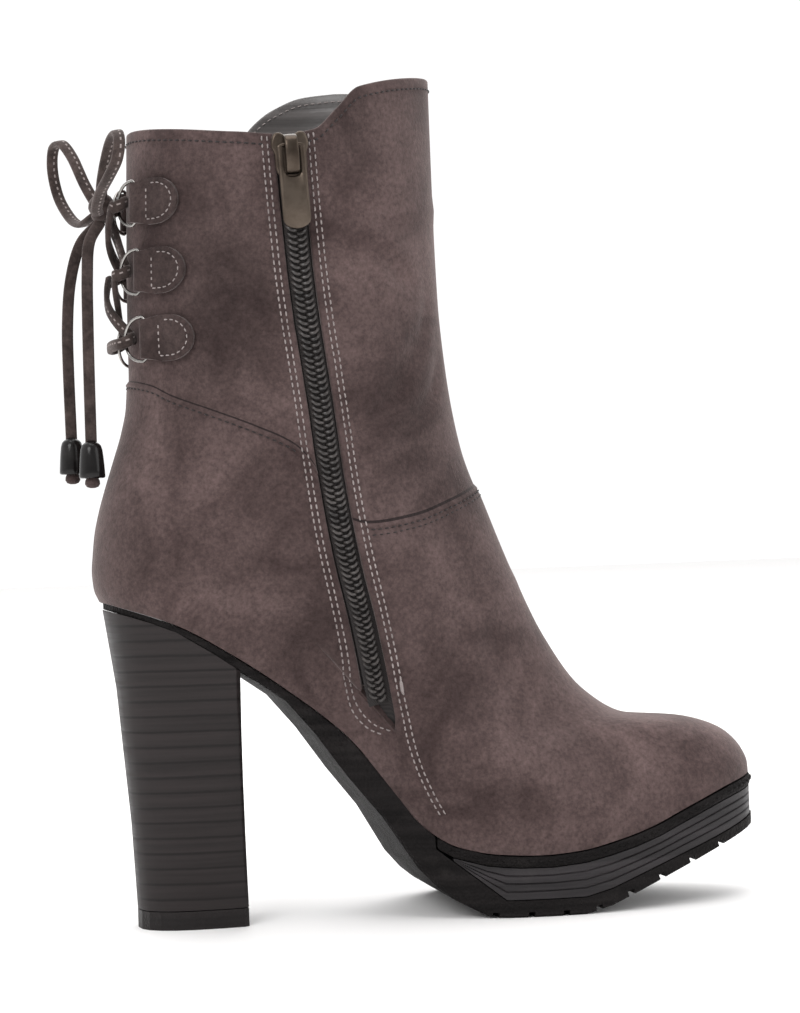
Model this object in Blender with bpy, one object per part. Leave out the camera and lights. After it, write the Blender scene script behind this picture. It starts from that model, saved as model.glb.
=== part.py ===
# Left ankle boot: platform sole, block heel, lacing up the back and a zip on the inner side.
# Sizes and tables are in millimetres, and meshes are made in metres.
# X runs to the toe, Y to the outer side and Z up. The origin is the middle of the heel's bottom face.
import math

import bmesh
import bpy
from mathutils import Vector

METRES = 0.001
GAP = 0.3                  # left between pieces that touch
LASTING_GAP = 0.65         # left where the facets of two curved pieces cut across their curve
WALL = 1.8                 # suede and lining together
OVERLAY = 0.7              # counter and vamp stand this far proud of the shaft
SIDE_COLUMNS = 12          # mesh columns from the back seam to the zip, and from the zip to the toe

MEDIAL, LATERAL = -1, 1


def table(names, *rows):
    return [dict(zip(names.split(), row)) for row in rows]


# side view, half widths and end roundness of the upper, from the feather edge up to the collar;
# fade is the share of the sole's own curve that a level still follows
LEVELS = table(
    "name back_x back_z front_x front_z heel waist ball toe heel_round toe_round fade",
    ("feather", -25.4, 108.0, 192.5, 41.6, 26.5, 22.0, 40.0, 34.0, 0.12, 0.30, 1.00),
    ("edge", -27.0, 112.0, 192.4, 44.6, 28.0, 23.2, 40.8, 34.6, 0.13, 0.31, 0.95),
    ("side", -27.5, 117.5, 190.6, 49.2, 28.8, 24.4, 41.0, 34.6, 0.13, 0.33, 0.88),
    ("cap", -27.0, 123.5, 184.4, 55.6, 29.2, 25.4, 40.0, 34.0, 0.14, 0.37, 0.80),
    ("top", -26.2, 130.0, 170.8, 60.4, 29.2, 26.2, 38.0, 33.0, 0.15, 0.42, 0.70),
    ("vamp", -24.6, 137.0, 151.5, 62.4, 29.2, 27.0, 35.5, 32.0, 0.17, 0.44, 0.58),
    ("ball", -22.2, 145.0, 136.2, 71.4, 29.4, 28.0, 33.8, 30.0, 0.20, 0.45, 0.46),
    ("instep", -19.2, 154.0, 123.8, 88.8, 29.8, 29.2, 32.6, 29.0, 0.25, 0.46, 0.34),
    ("bridge", -16.3, 163.0, 114.2, 109.4, 30.4, 30.4, 32.0, 29.6, 0.32, 0.47, 0.23),
    ("throat", -14.4, 172.0, 105.0, 133.2, 31.2, 31.4, 32.0, 30.6, 0.40, 0.48, 0.14),
    ("ankle", -13.8, 183.0, 97.2, 155.6, 32.2, 32.4, 32.6, 32.0, 0.46, 0.50, 0.07),
    ("shin", -13.7, 196.0, 93.2, 180.0, 33.4, 33.4, 33.4, 33.4, 0.50, 0.50, 0.02),
    ("shaft", -13.4, 212.0, 91.2, 205.0, 34.6, 34.6, 34.6, 34.6, 0.50, 0.50, 0.00),
    ("lacing", -12.9, 229.0, 90.6, 231.0, 35.6, 35.6, 35.6, 35.6, 0.50, 0.50, 0.00),
    ("rim", -12.4, 245.0, 90.4, 256.0, 36.2, 36.2, 36.2, 36.2, 0.50, 0.50, 0.00),
    ("collar", -11.8, 261.4, 90.3, 278.4, 36.7, 36.7, 36.7, 36.7, 0.50, 0.50, 0.00),
)
WIDTH_STATIONS = ((0.10, "heel"), (0.36, "waist"), (0.62, "ball"), (0.84, "toe"))

# bottom edge of the upper and underside of the sole, x then z
FEATHER = ((-25.4, 108.0), (-5.0, 100.5), (15.0, 89.0), (32.0, 77.3), (51.0, 62.0), (60.0, 51.8),
           (68.0, 40.2), (76.0, 29.8), (86.0, 23.5), (98.0, 21.0), (112.0, 20.3), (124.0, 21.0),
           (138.0, 23.8), (150.0, 27.2), (165.5, 33.4), (179.5, 38.4), (192.5, 41.6))
UNDERSIDE = ((-27.4, 105.7), (-5.0, 97.6), (16.0, 84.0), (22.0, 80.3), (27.5, 76.8), (33.0, 72.4),
             (37.6, 67.6), (41.5, 62.1), (45.8, 56.2), (51.6, 47.6), (58.0, 39.6), (62.7, 33.0),
             (66.0, 26.6), (69.5, 20.6), (74.0, 15.4), (78.0, 11.0), (83.0, 6.8), (90.0, 2.2),
             (97.0, 0.0), (126.0, 0.0), (132.0, 1.3), (145.0, 6.2), (160.0, 12.2), (172.0, 16.8),
             (183.0, 20.8), (193.5, 24.2))
SWING = ((0.0, 0.0), (0.10, 0.0), (0.36, 3.5), (0.55, 3.5), (0.68, 1.0), (0.85, -4.0), (1.0, -7.0))

# collar: how far the rim lies below the straight line from its back to its front
COLLAR_DIP = ((0.0, 0.0), (0.12, -3.9), (0.30, -9.2), (0.50, -13.4), (0.55, -13.2),
              (0.63, -7.6), (0.71, -1.5), (0.85, -0.3), (1.0, 0.0))
DIP_START = 0.80

# seam over the counter and the vamp, x then z
SEAM = ((-14.2, 180.0), (-8.0, 177.5), (-2.6, 174.0), (10.3, 168.4), (23.3, 162.9), (35.1, 157.0),
        (41.0, 151.0), (47.0, 140.0), (52.0, 132.5), (60.0, 130.5), (75.0, 132.5), (90.0, 137.5),
        (104.0, 143.2))

# zip on the inner side: z then x of its middle line
ZIP_LINE = ((66.0, 61.6), (74.0, 60.2), (97.6, 56.2), (121.0, 51.3), (145.0, 47.4), (168.0, 44.6),
            (213.0, 38.8), (257.0, 35.7), (262.0, 35.5))
ZIP = dict(slot=8.8, foot_z=71.0, end_gap=2.0, top_z=255.6, tape=0.9, teeth_width=6.4, teeth=1.5, slider_z=249.5)
SLIDER = dict(length=15.0, width=12.4, plate=1.8, bridge_width=4.2, bridge_reach=6.0,
              bridge_rise=4.6, bridge_wire=1.2)
PULL = dict(width=9.0, length=27.0, thick=1.2, slot_width=5.4, slot_length=9.8, bar=1.3,
            axis_up=3.2, axis_out=1.7)

SOLE = dict(rand=3.5, rand_start=79.0, wedge_end=100.0, tread=5.6, toe_tread=3.8,
            rand_out=1.3, midsole_out=0.9, lug_pitch=11.5, lug_gap=2.2, lug_depth=1.8)
INSOLE = dict(thick=2.0, inset=3.0)
HEEL = table("share back_x half_width",
             (0.0, -17.0, 16.3), (0.30, -18.2, 17.3), (0.55, -20.1, 19.0), (0.75, -21.6, 21.4),
             (0.88, -23.4, 23.8), (1.0, -25.2, 26.0))
HEEL_BREAST = dict(bottom=17.8, top=16.3)
LIFT = 6.0

# lacing: three rows of rings on tabs; angles are measured from the back seam, in degrees
RING_ROWS = table("z bar_angle", (237.5, 20.5), (215.0, 23.5), (193.0, 26.5))
RING = dict(wire=0.65, half_height=7.3, depth=7.6, bar_height=2.3, tip_height=4.4)
TAB = dict(roll=2.0, bore=1.0, length=16.0, lift=0.6, thick=1.6, fold_half=6.3, half=7.5)
ARC = 0.69                 # millimetres of shaft for each degree beside the back seam
LACE = dict(width=3.8, thick=2.0, bend=2.35)
CORD_RADIUS = 1.7
KNOT = dict(place=(-20.6, 0.0, 237.5), half=(3.6, 4.6, 4.4))
TIP = dict(length=11.5, top=2.6, bottom=4.3, nub=2.2)

# routes of the bow's loops and the hanging ends
MEDIAL_LOOP = ((-21.4, -5.2, 239.5), (-21.6, -10.0, 244.5), (-20.8, -18.0, 251.5), (-19.8, -26.0, 256.4),
               (-18.8, -34.0, 257.5), (-18.8, -39.5, 253.5), (-19.8, -39.0, 248.0), (-21.8, -32.0, 243.5),
               (-23.4, -22.0, 240.0), (-23.8, -12.0, 236.4), (-22.8, -6.0, 235.2))
LATERAL_LOOP = ((-22.4, 4.9, 239.8), (-25.5, 9.0, 247.0), (-28.5, 15.5, 256.5), (-31.4, 22.5, 262.3),
                (-33.4, 30.0, 261.5), (-33.6, 34.0, 254.5), (-32.0, 31.5, 245.0), (-29.0, 23.0, 237.0),
                (-26.8, 13.5, 233.8), (-25.0, 7.0, 234.2))
MEDIAL_END = ((-21.9, -2.1, 232.6), (-26.0, -5.5, 225.5), (-27.2, -7.6, 214.0), (-27.6, -8.4, 200.0),
              (-27.4, -8.5, 185.0), (-27.2, -8.5, 164.0))
LATERAL_END = ((-22.0, 1.9, 232.8), (-28.0, 4.6, 226.0), (-31.2, 7.0, 214.0), (-32.2, 8.2, 200.0),
               (-32.2, 8.5, 185.0), (-32.0, 8.5, 162.0))

MATERIALS = table(
    "name colour roughness metallic",
    ("suede", (0.095, 0.065, 0.065), 0.95, 0.0),
    ("lining", (0.085, 0.070, 0.066), 0.50, 0.0),
    ("black_rubber", (0.020, 0.017, 0.018), 0.60, 0.0),
    ("dark_midsole", (0.036, 0.031, 0.032), 0.50, 0.0),
    ("stacked_heel", (0.038, 0.030, 0.030), 0.45, 0.0),
    ("zip_fabric", (0.030, 0.027, 0.026), 0.85, 0.0),
    ("dark_metal", (0.070, 0.048, 0.035), 0.35, 1.0),
    ("bright_metal", (0.650, 0.630, 0.600), 0.20, 1.0),
    ("black_gloss", (0.010, 0.009, 0.009), 0.15, 0.0),
)


def curve(points, x):
    # smooth curve through a table's points that never swings past them
    if x <= points[0][0]:
        return points[0][1]
    if x >= points[-1][0]:
        return points[-1][1]
    k = max(i for i in range(len(points) - 1) if points[i][0] <= x)

    def slope(i):
        return (points[i + 1][1] - points[i][1]) / (points[i + 1][0] - points[i][0])

    def tangent(i):
        if i == 0 or i == len(points) - 1:
            return slope(min(i, len(points) - 2))
        before, after = slope(i - 1), slope(i)
        return 0.0 if before * after <= 0 else 2 * before * after / (before + after)

    span = points[k + 1][0] - points[k][0]
    u = (x - points[k][0]) / span
    return (points[k][1] * (1 + 2 * u) * (1 - u) ** 2 + points[k + 1][1] * u * u * (3 - 2 * u)
            + span * u * (1 - u) * (tangent(k) * (1 - u) - tangent(k + 1) * u))


def smooth_step(u):
    u = min(max(u, 0.0), 1.0)
    return u * u * (3 - 2 * u)


# one smooth curve over t for each column of LEVELS
COLUMNS = {name: [(i / (len(LEVELS) - 1), level[name]) for i, level in enumerate(LEVELS)]
           for name in LEVELS[0] if name != "name"}


def level_at(t):
    return {name: curve(points, t) for name, points in COLUMNS.items()}


def feather(x):
    return curve(FEATHER, x)


def underside(x):
    return curve(UNDERSIDE, x)


def upper_point(phi, t):
    # phi runs round the boot from the toe (0) by the outer side to the back (pi); t runs up
    level = level_at(t)
    s = (1 + math.cos(phi)) / 2
    stations = [(at, level[name]) for at, name in WIDTH_STATIONS]
    half = curve(stations, s)
    for length, away in ((level["heel_round"], s), (level["toe_round"], 1 - s)):
        if away < length:
            half *= math.sqrt(max(0.0, 1 - ((length - away) / length) ** 2))
    foot_x = FEATHER[0][0] + s * (FEATHER[-1][0] - FEATHER[0][0])
    chord = FEATHER[0][1] + s * (FEATHER[-1][1] - FEATHER[0][1])
    z = level["back_z"] + s * (level["front_z"] - level["back_z"])
    z += level["fade"] * (feather(foot_x) - chord)
    z += curve(COLLAR_DIP, s) * smooth_step((t - DIP_START) / (1 - DIP_START))
    x = level["back_x"] + s * (level["front_x"] - level["back_x"])
    y = curve(SWING, s) * level["fade"] + half * (1 if math.sin(phi) > 0 else -1)
    return Vector((x, y, z))


def upper_normal(phi, t):
    d = 1e-3
    low, high = max(t - d, 0.0), min(t + d, 1.0)
    around = upper_point(phi + d, t) - upper_point(phi - d, t)
    up = upper_point(phi, high) - upper_point(phi, low)
    return around.cross(up).normalized()


def solve(function, low, high):
    # root of a rising function between low and high
    for _ in range(30):
        middle = (low + high) / 2
        if function(middle) < 0:
            low = middle
        else:
            high = middle
    return (low + high) / 2


def t_at_height(phi, z):
    return solve(lambda t: upper_point(phi, t).z - z, 0.0, 1.0)


def phi_at_x(t, x):
    # angle on the inner side where a level passes x
    level = level_at(t)
    s = (x - level["back_x"]) / (level["front_x"] - level["back_x"])
    return -math.acos(min(max(2 * s - 1, -1.0), 1.0))


def zip_phi(t, across):
    # angle of a line that runs beside the zip's middle, across millimetres towards the toe
    phi = -math.pi / 2
    for _ in range(8):
        z = upper_point(phi, t).z
        phi = phi_at_x(t, curve(ZIP_LINE, z) + across)
    return phi


def column_angles(t):
    # mesh columns: back seam to zip, the zip's slot, zip to toe, then the outer side
    rear, front = zip_phi(t, -ZIP["slot"] / 2), zip_phi(t, ZIP["slot"] / 2)
    n = SIDE_COLUMNS
    angles = [-math.pi + (rear + math.pi) * i / n for i in range(n + 1)]
    angles += [front - front * i / n for i in range(n)]
    angles += [math.pi * i / (2 * n) for i in range(2 * n)]
    return angles


def seam_level(column):
    # t where this column crosses the seam over the counter and vamp
    def above(t):
        point = upper_point(column_angles(t)[column], t)
        return point.z - curve(SEAM, point.x)
    return solve(above, 0.2, 0.9)


def skin(delta, z, out):
    # point over the back of the shaft: delta degrees from the back seam (outer side positive)
    phi = math.copysign(math.pi - math.radians(abs(delta)), delta)
    t = t_at_height(phi, z)
    return upper_point(phi, t) + upper_normal(phi, t) * out


def zip_point(z, across, out):
    phi = -math.pi / 2
    for _ in range(10):
        t = t_at_height(phi, z)
        phi = phi_at_x(t, curve(ZIP_LINE, z) + across)
    return upper_point(phi, t) + upper_normal(phi, t) * out


def make_materials():
    made = {}
    for row in MATERIALS:
        material = bpy.data.materials.new(row["name"])
        material.use_nodes = True
        shader = material.node_tree.nodes["Principled BSDF"]
        shader.inputs["Base Color"].default_value = (*row["colour"], 1.0)
        shader.inputs["Roughness"].default_value = row["roughness"]
        shader.inputs["Metallic"].default_value = row["metallic"]
        made[row["name"]] = material
    return made


def add_solid(name, points, faces, material):
    mesh = bpy.data.meshes.new(name)
    mesh.from_pydata([Vector(p) * METRES for p in points], [], faces)
    shape = bmesh.new()
    shape.from_mesh(mesh)
    bmesh.ops.remove_doubles(shape, verts=shape.verts, dist=1e-6)
    bmesh.ops.recalc_face_normals(shape, faces=shape.faces)
    shape.to_mesh(mesh)
    shape.free()
    mesh.shade_smooth()
    mesh.set_sharp_from_angle(angle=math.radians(40))
    mesh.materials.append(material)
    thing = bpy.data.objects.new(name, mesh)
    bpy.context.scene.collection.objects.link(thing)
    return thing


def grid_faces(rows, columns, start=0, close=False):
    last = columns if close else columns - 1
    return [(start + r * columns + c, start + r * columns + (c + 1) % columns,
             start + (r + 1) * columns + (c + 1) % columns, start + (r + 1) * columns + c)
            for r in range(rows - 1) for c in range(last)]


def lofted(name, rings, material):
    # closed solid through rings of equal length, with flat fans at both ends
    n = len(rings[0])
    points = [p for ring in rings for p in ring]
    faces = grid_faces(len(rings), n, close=True)
    faces.append(tuple(range(n)))
    faces.append(tuple(range(len(points) - n, len(points))))
    return add_solid(name, points, faces, material)


def upper_rows():
    # mesh rows as (t, proud) for each column, and the row along the slot's lower end
    below = [0.0, 0.055, 0.11, 0.18, 0.26, 0.34, 0.43, 0.53, 0.64, 0.76, 0.88, 1.0]
    above = (0.015, 0.20, 0.40, 0.58, 0.72, 0.84, 0.93, 1.0)
    seams = [seam_level(c) for c in range(len(column_angles(0.5)))]
    foot_t = solve(lambda t: upper_point(zip_phi(t, 0.0), t).z - ZIP["foot_z"], 0.0, 1.0)
    foot_share = 2 * foot_t / (seams[SIDE_COLUMNS] + seams[SIDE_COLUMNS + 1])
    foot = min(range(1, len(below) - 1), key=lambda r: abs(below[r] - foot_share))
    below[foot] = foot_share
    rows = [[(seam * share, OVERLAY) for seam in seams] for share in below]
    rows += [[(seam + (1 - seam) * share, 0.0) for seam in seams] for share in above]
    return rows, foot


def make_upper(material):
    rows, foot = upper_rows()
    count = len(rows[0])
    outer, inner = [], []
    for row in rows:
        for c, (t, proud) in enumerate(row):
            phi = column_angles(t)[c]
            point, normal = upper_point(phi, t), upper_normal(phi, t)
            outer.append(point + normal * proud)
            inner.append(point - normal * WALL)
    points = outer + inner
    half = len(outer)
    faces = []
    for r in range(len(rows) - 1):
        for c in range(count):
            if c == SIDE_COLUMNS and r >= foot:
                continue
            quad = [r * count + c, r * count + (c + 1) % count,
                    (r + 1) * count + (c + 1) % count, (r + 1) * count + c]
            faces.append(tuple(quad))
            faces.append(tuple(half + i for i in reversed(quad)))
    last = (len(rows) - 1) * count
    for c in range(count):
        after = (c + 1) % count
        faces.append((after, c, half + c, half + after))
        if c != SIDE_COLUMNS:
            faces.append((last + c, last + after, half + last + after, half + last + c))
    for r in range(foot, len(rows) - 1):
        for c in (SIDE_COLUMNS, SIDE_COLUMNS + 1):
            a, b = r * count + c, (r + 1) * count + c
            faces.append((a, b, half + b, half + a))
    a, b = foot * count + SIDE_COLUMNS, foot * count + SIDE_COLUMNS + 1
    faces.append((a, b, half + b, half + a))
    return add_solid("upper", points, faces, material)


def outline_point(phi, out):
    # bottom edge of the upper in plan, moved outward
    along = upper_point(phi + 1e-3, 0.0) - upper_point(phi - 1e-3, 0.0)
    normal = Vector((along.y, -along.x, 0.0)).normalized()
    return upper_point(phi, 0.0) + normal * out


def outline_stations(start, count=32):
    # places along the sole, closer at both ends, with one on each of the sole's own breaks
    low, high = FEATHER[0][0], FEATHER[-1][0]
    marks = (16.0, SOLE["rand_start"] - 0.2, SOLE["rand_start"], SOLE["rand_start"] + 0.5,
             midsole_start(), SOLE["wedge_end"], 126.0)
    xs = [low + (high - low) * (1 - math.cos(math.pi * i / count)) / 2 for i in range(count + 1)]
    xs = [x for x in xs if x > start + 1.0 and all(abs(x - m) > 1.0 for m in marks)]
    return sorted([start] + xs + [m for m in marks if m > start + 1e-6])


def add_slab(name, material, top, bottom, out, start, side=((0.0, 0.0), (1.0, 0.0))):
    # layer that follows the upper's outline; side lists share of the height and outset of each row
    low, high = FEATHER[0][0], FEATHER[-1][0]
    stations = outline_stations(start)
    rows = []
    for share, outset in side:
        row = []
        for edge in (MEDIAL, LATERAL):
            for x in stations:
                s = min(max((x - low) / (high - low), 0.0), 1.0)
                phi = edge * math.acos(min(max(2 * s - 1, -1.0), 1.0))
                point = outline_point(phi, out(s) + outset)
                point.z = bottom(x) + (top(x) - bottom(x)) * share
                row.append(point)
        rows.append(row)
    n = len(stations)
    points = [p for row in rows for p in row]
    ring = list(range(n)) + list(range(2 * n - 1, n - 1, -1))
    faces = []
    for r in range(len(rows) - 1):
        for i, a in enumerate(ring):
            b = ring[(i + 1) % len(ring)]
            faces.append((r * 2 * n + a, r * 2 * n + b, (r + 1) * 2 * n + b, (r + 1) * 2 * n + a))
    for base in (0, (len(rows) - 1) * 2 * n):
        for i in range(n - 1):
            faces.append((base + i, base + i + 1, base + n + i + 1, base + n + i))
    return add_solid(name, points, faces, material)


def forefoot_out(amount):
    return lambda s: -0.4 + (amount + 0.4) * smooth_step((s - 0.36) / 0.14)


def tread_top(x):
    # top of the outsole: under the upper along the waist, down the wedge, then under the midsole
    if x <= SOLE["rand_start"] - 0.2:
        return feather(x) - LASTING_GAP
    start, end = SOLE["rand_start"], SOLE["wedge_end"]
    thick = SOLE["tread"] + (SOLE["toe_tread"] - SOLE["tread"]) * smooth_step((x - 130) / 60)
    line = underside(x) + thick
    if x >= end:
        return line
    high = feather(start) - LASTING_GAP - SOLE["rand"] - GAP
    return high + (underside(end) + SOLE["tread"] - high) * (x - start) / (end - start)


def midsole_top(x):
    return feather(x) - LASTING_GAP - SOLE["rand"] - GAP


def midsole_start():
    # the midsole begins where its wedge is this thick
    thin = 0.8
    return solve(lambda x: midsole_top(x) - tread_top(x) - GAP - thin,
                 SOLE["rand_start"] + 1, SOLE["wedge_end"])


def make_sole(materials):
    rand, start = SOLE["rand"], SOLE["rand_start"]
    add_slab("insole", materials["lining"], lambda x: feather(x) + INSOLE["thick"], feather,
             lambda s: -INSOLE["inset"], FEATHER[0][0])
    add_slab("rand", materials["black_rubber"], lambda x: feather(x) - LASTING_GAP,
             lambda x: feather(x) - LASTING_GAP - rand, forefoot_out(SOLE["rand_out"]), start + 0.5,
             side=((0.0, -0.5), (0.25, 0.0), (0.75, 0.0), (1.0, -0.5)))
    # three fine grooves run along the midsole's side
    ribs = [(0.0, 0.0)]
    for k in range(1, 4):
        ribs += [(0.25 * k - 0.04, 0.0), (0.25 * k, -0.5), (0.25 * k + 0.04, 0.0)]
    ribs.append((1.0, 0.0))
    add_slab("midsole", materials["dark_midsole"], midsole_top, lambda x: tread_top(x) + GAP,
             forefoot_out(SOLE["midsole_out"]), midsole_start(), side=ribs)
    outsole = add_slab("outsole", materials["black_rubber"], tread_top, underside,
                       forefoot_out(SOLE["rand_out"]), FEATHER[0][0],
                       side=((0.0, -1.2), (0.15, 0.0), (1.0, 0.0)))
    cut_lugs(outsole)


def box_faces(base):
    return [tuple(base + i for i in f) for f in
            ((0, 1, 3, 2), (4, 6, 7, 5), (0, 4, 5, 1), (2, 3, 7, 6), (0, 2, 6, 4), (1, 5, 7, 3))]


def cut_lugs(outsole):
    # cross grooves between the forefoot's lugs, each as deep all along as the lugs are high
    pitch, gap, depth = SOLE["lug_pitch"], SOLE["lug_gap"], SOLE["lug_depth"]
    points, faces = [], []
    for k in range(8):
        x = 96.0 + pitch * k
        slope = (underside(x + 1) - underside(x - 1)) / 2
        for dx in (-gap / 2, gap / 2):
            for y in (-60.0, 60.0):
                for dz in (-6.0, depth):
                    points.append((x + dx - slope * dz, y, underside(x) + slope * dx + dz))
        faces += box_faces(8 * k)
    cutter = add_solid("lug_cutter", points, faces, outsole.data.materials[0])
    cutter.hide_render = True
    cutter.display_type = "WIRE"
    cut = outsole.modifiers.new("lug grooves", "BOOLEAN")
    cut.operation = "DIFFERENCE"
    cut.solver = "EXACT"
    cut.object = cutter


def heel_ring(share, back_x, half, height):
    # flat breast, rounded back: height gives z for each x
    breast = HEEL_BREAST["bottom"] + (HEEL_BREAST["top"] - HEEL_BREAST["bottom"]) * share
    widest = breast - 9.0
    sides = [(breast, 0.90 * half), (breast - 1.6, 0.985 * half)]
    power = 2 / 2.6
    bend = []
    for i in range(1, 12):
        angle = math.pi / 2 - math.pi * i / 12
        x = widest - (widest - back_x) * abs(math.cos(angle)) ** power
        y = half * math.copysign(abs(math.sin(angle)) ** power, math.sin(angle))
        bend.append((x, y))
    ring = sides + [(widest, half)] + bend + [(widest, -half)]
    ring += [(x, -y) for x, y in reversed(sides)]
    return [(x, y, height(x)) for x, y in ring]


def make_heel(materials):
    base = LIFT + GAP
    rings = []
    for row in HEEL:
        share = row["share"]
        rings.append(heel_ring(share, row["back_x"], row["half_width"],
                               lambda x: base + (underside(x) - GAP - base) * share))
    lofted("heel_block", rings, materials["stacked_heel"])
    foot = HEEL[0]
    rings = [heel_ring(0.0, foot["back_x"], foot["half_width"], lambda x: z) for z in (0.0, LIFT)]
    lofted("heel_top_piece", rings, materials["black_rubber"])


def trimmed(ring, towards, z):
    # ring moved along the strip until its middle is at z
    here = sum(p.z for p in ring) / len(ring)
    there = sum(p.z for p in towards) / len(towards)
    return [p.lerp(q, (z - here) / (there - here)) for p, q in zip(ring, towards)]


def strip(name, material, half_width, bottom, top):
    # band in the slot, on the upper's own rows: bottom and top are its faces' distances from the suede
    rows, foot = upper_rows()
    rings = []
    for row in rows[foot:]:
        ring = []
        for across, out in ((-half_width, bottom), (half_width, bottom), (half_width, top), (-half_width, top)):
            rear, front = row[SIDE_COLUMNS][0], row[SIDE_COLUMNS + 1][0]
            t = rear + (front - rear) * (across / ZIP["slot"] + 0.5)
            phi = zip_phi(t, across)
            ring.append(upper_point(phi, t) + upper_normal(phi, t) * out)
        rings.append(ring)
    rings[0] = trimmed(rings[0], rings[1], ZIP["foot_z"] + ZIP["end_gap"])
    rings[-1] = trimmed(rings[-1], rings[-2], ZIP["top_z"])
    return lofted(name, rings, material)


def make_zip(materials):
    tape_top = -0.7
    strip("zip_tape", materials["zip_fabric"], ZIP["slot"] / 2 - GAP - 0.2, tape_top - ZIP["tape"], tape_top)
    teeth_bottom = tape_top + LASTING_GAP
    strip("zip_teeth", materials["zip_fabric"], ZIP["teeth_width"] / 2,
          teeth_bottom, teeth_bottom + ZIP["teeth"])
    make_slider(materials["dark_metal"], teeth_bottom + ZIP["teeth"] + GAP)


def zip_frame(floor):
    # across, up and out directions at the slider, and the point under its middle
    z = ZIP["slider_z"]
    origin = zip_point(z, 0.0, floor)
    up = (zip_point(z + 5, 0.0, floor) - zip_point(z - 5, 0.0, floor)).normalized()
    out = (zip_point(z, 0.0, floor + 1) - origin).normalized()
    across = up.cross(out).normalized()
    return origin, across, up, across.cross(up)


def placed(frame, rows):
    origin, across, up, out = frame
    return [origin + across * a + up * b + out * c for a, b, c in rows]


def make_slider(material, floor):
    frame = zip_frame(floor)
    half, length, plate = SLIDER["width"] / 2, SLIDER["length"] / 2, SLIDER["plate"]
    shield = ((-0.45, -1.0), (0.45, -1.0), (0.86, -0.55), (0.86, 0.1), (1.0, 0.5), (0.8, 1.0),
              (0.25, 0.86), (-0.25, 0.86), (-0.8, 1.0), (-1.0, 0.5), (-0.86, 0.1), (-0.86, -0.55))
    rings = [placed(frame, [(a * half * k, b * length * k, c) for a, b in shield])
             for k, c in ((1.0, 0.0), (1.0, plate - 0.5), (0.92, plate))]
    body = lofted("zip_slider", rings, material)

    # bridge over the pull's bar, joined to the plate
    wire, rise, wide = SLIDER["bridge_wire"], SLIDER["bridge_rise"], SLIDER["bridge_width"] / 2
    reach = SLIDER["bridge_reach"]
    steps = 10
    rings = []
    for i in range(steps + 1):
        angle = math.pi * i / steps
        centre_b, centre_c = reach * math.cos(angle), plate + rise * math.sin(angle) ** 0.6 - 0.4
        out_b, out_c = math.cos(angle), math.sin(angle)
        section = [(side * wide, centre_b + out_b * depth, centre_c + out_c * depth)
                   for side, depth in ((-1, -wire / 2), (1, -wire / 2), (1, wire / 2), (-1, wire / 2))]
        rings.append(placed(frame, section))
    bridge = lofted("slider_bridge", rings, material)
    join = body.modifiers.new("bridge", "BOOLEAN")
    join.operation = "UNION"
    join.solver = "EXACT"
    join.object = bridge
    bridge.hide_render = True
    bridge.display_type = "WIRE"
    make_pull(frame, plate, material)


def make_pull(frame, plate, material):
    # flat tab that hangs by the bar at its top; its slot lets it turn round the bridge
    axis_b, axis_c = PULL["axis_up"], plate + PULL["axis_out"]
    half, slot, thick = PULL["width"] / 2, PULL["slot_width"] / 2, PULL["thick"] / 2
    bar, corner = PULL["bar"] / 2, 1.6
    outer, inner = [], []
    for down, slot_end in ((False, -bar), (True, -PULL["slot_length"])):
        sign = -1 if down else 1
        end = -PULL["length"] if down else bar
        for i in range(10):
            angle = math.pi * (i + 0.5) / 10
            bow = sign * corner * (math.sin(angle) ** 0.6 - 1)
            outer.append((sign * half * math.cos(angle), end + bow))
            inner.append((sign * slot * math.cos(angle), slot_end + bow * 0.25))
    rings = []
    for loop, thickness in ((outer, -thick), (outer, thick), (inner, thick), (inner, -thick)):
        rings.append(placed(frame, [(a, axis_b + b, axis_c + thickness) for a, b in loop]))
    points = [p for ring in rings for p in ring]
    n = len(outer)
    faces = grid_faces(4, n, close=True)
    faces += [(3 * n + i, 3 * n + (i + 1) % n, (i + 1) % n, i) for i in range(n)]
    add_solid("zip_pull", points, faces, material)


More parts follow.
